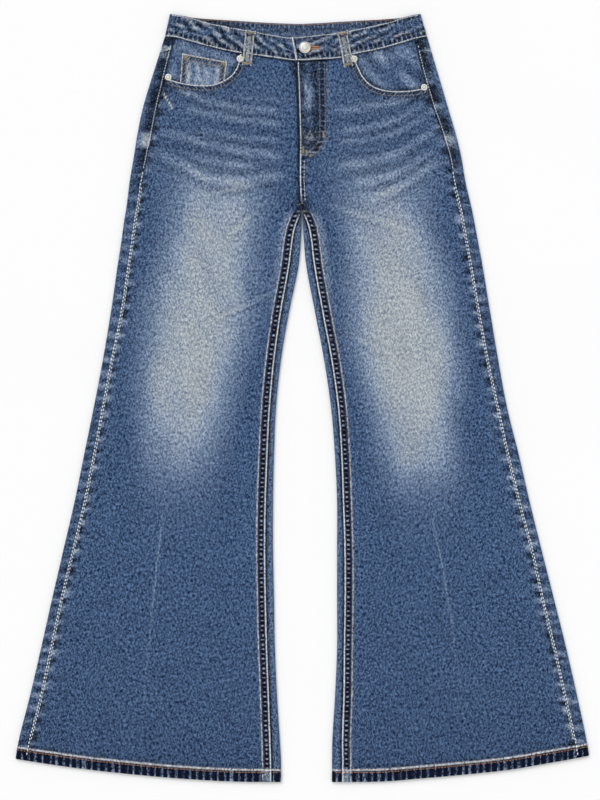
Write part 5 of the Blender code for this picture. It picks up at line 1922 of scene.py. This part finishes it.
def sew_back(surfaces):
    """Two rows under each yoke seam and down the back, and two where the yoke's end shows in front."""
    rows = []
    for side in SIDES:
        inward = SIDES[side]["inward"]
        start = leg(side, "outer", YOKE_SIDE_HEIGHT) + inward * 5.0
        end = centre("back_seam", YOKE_CENTRE_HEIGHT) - inward * 3.0
        for offset in (-2.2, -8.4):
            line = across_line(lambda x: yoke_seam(side, x, False), offset, start, end)
            rows.append(stitch_row(surfaces, line, 341, -1))
        near = leg(side, "outer", YOKE_SIDE_HEIGHT) + inward * np.array((3.0, 12.0))
        for offset in (-2.0, 4.5):
            line = across_line(lambda x: yoke_seam(side, x, True), offset, *near)
            rows.append(stitch_row(surfaces, line, 342))
    y = np.linspace(824.0, 972.0, 60)
    for offset in (2.2, 8.4):
        line = np.stack((centre("back_seam", y) + offset, y), axis=1)
        rows.append(stitch_row(surfaces, line, 343, -1))
    stitch_piece("yoke_stitches", "khaki", rows)


def sew_buttonhole(surfaces):
    """The keyhole buttonhole: close stitches round a slot that runs out from under the button."""
    start, end = 10.5, 25.0
    count = 20
    y = BUTTON_AT[1] + 0.3
    rng = np.random.default_rng(351)
    bm = bmesh.new()
    for i in range(count):
        t = (i + 0.5) / count
        x = start + (end - start) * t
        half = 2.5 * (1 - t) ** 0.6 + 0.4
        for way in (-1, 1):
            drift = rng.normal(0, 0.12)
            low, high = (x + drift, y + way * 0.35), (x - drift, y + way * (half + 0.5))
            lay_stitch(bm, surfaces, low, high, BUTTONHOLE_THREAD)
    stitch_piece("buttonhole_stitches", "orange", [bm])


# Metal


def turned(name, node, profile, hollows, centre_at, segments):
    """A round piece of metal: a profile from its foot's middle to its top's middle, spun about Z."""
    bm = bmesh.new()
    verts = [bm.verts.new((r * MM, 0.0, z * MM)) for r, z in profile]
    edges = [bm.edges.new(pair) for pair in zip(verts[:-1], verts[1:])]
    spin = {"cent": (0, 0, 0), "axis": (0, 0, 1), "angle": 2 * math.pi, "steps": segments}
    bmesh.ops.spin(bm, geom=verts + edges, use_merge=True, **spin)
    bmesh.ops.remove_doubles(bm, verts=bm.verts[:], dist=0.00001)
    bmesh.ops.recalc_face_normals(bm, faces=bm.faces[:])
    hollow = bm.verts.layers.float.new("hollow")
    for vert in bm.verts:
        radius = math.hypot(vert.co.x, vert.co.y) / MM
        vert[hollow] = max(float(bell(radius - at, wide)) for at, wide in hollows)
    bmesh.ops.translate(bm, verts=bm.verts[:], vec=Vector(place(*centre_at).tolist()))
    mesh = mesh_from(bm, name)
    mesh.shade_smooth()
    mesh.set_sharp_from_angle(angle=SHARP_METAL)
    return add_piece(name, mesh, nickel(), (node,))


def build_button():
    """The waist button: a cap with a rolled rim and a low dome, on a short neck."""
    foot = 2 * BAND_RADIUS + OVERLAP_LIFT + LYING_GAP
    r = BUTTON_RADIUS
    turn = np.linspace(0.2, math.pi, 12)
    rim = [(r - 0.9 + 0.9 * math.sin(a), 1.9 - 0.95 * math.cos(a)) for a in turn]
    profile = [(0.0, 0.0), (3.4, 0.0), (3.2, 0.4), (3.2, 0.8), (r - 2.4, 0.85), *rim]
    profile += [(r - 1.5, 2.75), (r - 1.9, 2.6), (r - 2.3, 2.62), (r - 2.7, 2.75)]
    profile += [(5.0, 2.88), (3.6, 3.02), (2.2, 3.12), (1.0, 3.18), (0.0, 3.2)]
    # Darkened rings: painted shade round the outer rim, tarnish in the groove inside it and at the neck's
    # radius
    hollows = ((r, 0.6), (r - 1.9, 0.4), (3.2, 0.5))
    return turned("waist_button", "button", profile, hollows, (*BUTTON_AT, foot), 64)


def build_rivet(side, name, x, y):
    """A rivet at a corner of a pocket opening: a washer with a rounded rim round a domed nub."""
    around = np.linspace(0, 2 * math.pi, 13)
    near = RIVET_RADIUS * np.array([[0.4], [1.0]])
    under = front_under(side, x + near * np.cos(around), y + near * np.sin(around), FAR)
    foot = float(np.max(under)) + DENIM + LYING_GAP
    r = RIVET_RADIUS
    profile = [
        (0.0, 0.0), (r - 0.2, 0.0), (r, 0.18), (r - 0.02, 0.42), (r - 0.25, 0.72), (r - 0.7, 0.88),
        (r - 1.3, 0.86), (r - 1.9, 0.74), (2.25, 0.66), (2.0, 0.8), (1.85, 1.1), (1.5, 1.34), (0.9, 1.46),
        (0.45, 1.36), (0.0, 1.3),
    ]
    hollows = ((2.35, 0.35), (0.0, 0.5))
    return turned(f"{side}_{name}_rivet", f"rivet_{side}_{name}", profile, hollows, (x, y, foot), 32)


# Stage


def build_stage():
    """A pale floor, soft light and a camera straight above the jeans."""
    settings = stage_settings()
    scene = bpy.context.scene
    bm = bmesh.new()
    bmesh.ops.create_grid(bm, x_segments=1, y_segments=1, size=FLOOR_SIZE)
    bmesh.ops.translate(bm, verts=bm.verts[:], vec=(0.0, 0.0, -FLOOR_DROP))
    mesh = mesh_from(bm, "floor")
    material, tree, shader = new_material("floor_paint", 0.9, Specular_IOR_Level=0.1)
    at = add_node(tree, "ShaderNodeTexCoord").outputs["Object"]
    plain = tuple(settings.floor)
    low = tuple(0.985 * v for v in plain)
    paint = colour_steps(tree, noise(tree, at, 1.5, 2.0), low, plain, plain)
    tree.links.new(paint, shader.inputs["Base Color"])
    mesh.materials.append(material)
    put("floor", mesh)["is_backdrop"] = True

    world = bpy.data.worlds.new("soft_room")
    world.use_nodes = True
    background = world.node_tree.nodes["Background"]
    background.inputs["Color"].default_value = (1.0, 1.0, 1.0, 1.0)
    background.inputs["Strength"].default_value = settings.sky
    scene.world = world

    light = bpy.data.lights.new("window", "SUN")
    light.energy = settings.sun
    light.angle = math.radians(35)
    lamp = put("window", light)
    lamp.rotation_euler = Vector((-0.6, 0.8, 1.0)).to_track_quat("Z", "Y").to_euler()

    camera = bpy.data.cameras.new("camera")
    camera.lens = settings.lens
    seat = put("camera", camera)
    seat.location = (*CAMERA_AT, settings.view_height * settings.lens / camera.sensor_width)
    scene.camera = seat
    scene.view_settings.view_transform = "Standard"


# Operators


class JEANS_OT_fronts(Operator):
    """Build both front panels"""

    bl_idname = "jeans.fronts"
    bl_label = "Front Panels"

    def execute(self, context):
        for side in SIDES:
            build_front(side)
        return {"FINISHED"}


class JEANS_OT_backs(Operator):
    """Build both back panels and their yokes"""

    bl_idname = "jeans.backs"
    bl_label = "Back Panels and Yokes"

    def execute(self, context):
        for side in SIDES:
            build_back(side)
            build_yoke(side)
        return {"FINISHED"}


class JEANS_OT_pockets(Operator):
    """Build the pocket facings and the coin pocket"""

    bl_idname = "jeans.pockets"
    bl_label = "Pockets"

    def execute(self, context):
        for side in SIDES:
            build_facing(side)
        build_coin_pocket()
        return {"FINISHED"}


class JEANS_OT_waistband(Operator):
    """Build the waistband"""

    bl_idname = "jeans.waistband"
    bl_label = "Waistband"

    def execute(self, context):
        build_waistband()
        return {"FINISHED"}


class JEANS_OT_loops(Operator):
    """Build the belt loops"""

    bl_idname = "jeans.loops"
    bl_label = "Belt Loops"

    def execute(self, context):
        build_loop("right", RIGHT_LOOP)
        build_loop("left", LEFT_LOOP)
        return {"FINISHED"}


class JEANS_OT_metal(Operator):
    """Build the button and the rivets"""

    bl_idname = "jeans.metal"
    bl_label = "Button and Rivets"

    def execute(self, context):
        build_button()
        for row in RIVETS:
            build_rivet(*row)
        return {"FINISHED"}


class JEANS_OT_stitching(Operator):
    """Sew the topstitching onto the cloth"""

    bl_idname = "jeans.stitching"
    bl_label = "Topstitching"

    def execute(self, context):
        surfaces = Surfaces()
        if not surfaces.trees:
            raise RuntimeError("build the cloth pieces before the topstitching")
        for sew in (sew_legs, sew_waist, sew_pockets, sew_fly, sew_loops, sew_back, sew_buttonhole):
            sew(surfaces)
        return {"FINISHED"}


class JEANS_OT_stage(Operator):
    """Set the floor, the light and the camera"""

    bl_idname = "jeans.stage"
    bl_label = "Stage"

    def execute(self, context):
        build_stage()
        return {"FINISHED"}


OPERATORS = (
    JEANS_OT_fronts,
    JEANS_OT_backs,
    JEANS_OT_pockets,
    JEANS_OT_waistband,
    JEANS_OT_loops,
    JEANS_OT_stitching,
    JEANS_OT_metal,
    JEANS_OT_stage,
)
SETTINGS = {
    "jeans_denim": DenimSettings,
    "jeans_thread": ThreadSettings,
    "jeans_metal": MetalSettings,
    "jeans_stage": StageSettings,
}


class JEANS_PT_panel(Panel):
    """The jeans' settings and the steps that build them"""

    bl_idname = "JEANS_PT_panel"
    bl_label = "Flared Jeans"
    bl_space_type = "VIEW_3D"
    bl_region_type = "UI"
    bl_category = "Jeans"

    def draw(self, context):
        layout = self.layout
        for name, group in SETTINGS.items():
            box = layout.box()
            box.label(text=group.__doc__)
            for key in group.__annotations__:
                box.prop(getattr(context.scene, name), key)
        for operator in OPERATORS:
            layout.operator(operator.bl_idname)


def register():
    for group in (*SETTINGS.values(), *OPERATORS, JEANS_PT_panel):
        bpy.utils.register_class(group)
    for name, group in SETTINGS.items():
        setattr(bpy.types.Scene, name, PointerProperty(type=group))


def unregister():
    for name in SETTINGS:
        delattr(bpy.types.Scene, name)
    for group in reversed((*SETTINGS.values(), *OPERATORS, JEANS_PT_panel)):
        bpy.utils.unregister_class(group)


def main():
    register()
    for operator in OPERATORS:
        group, name = operator.bl_idname.split(".")
        getattr(getattr(bpy.ops, group), name)()


if __name__ == "__main__":
    main()
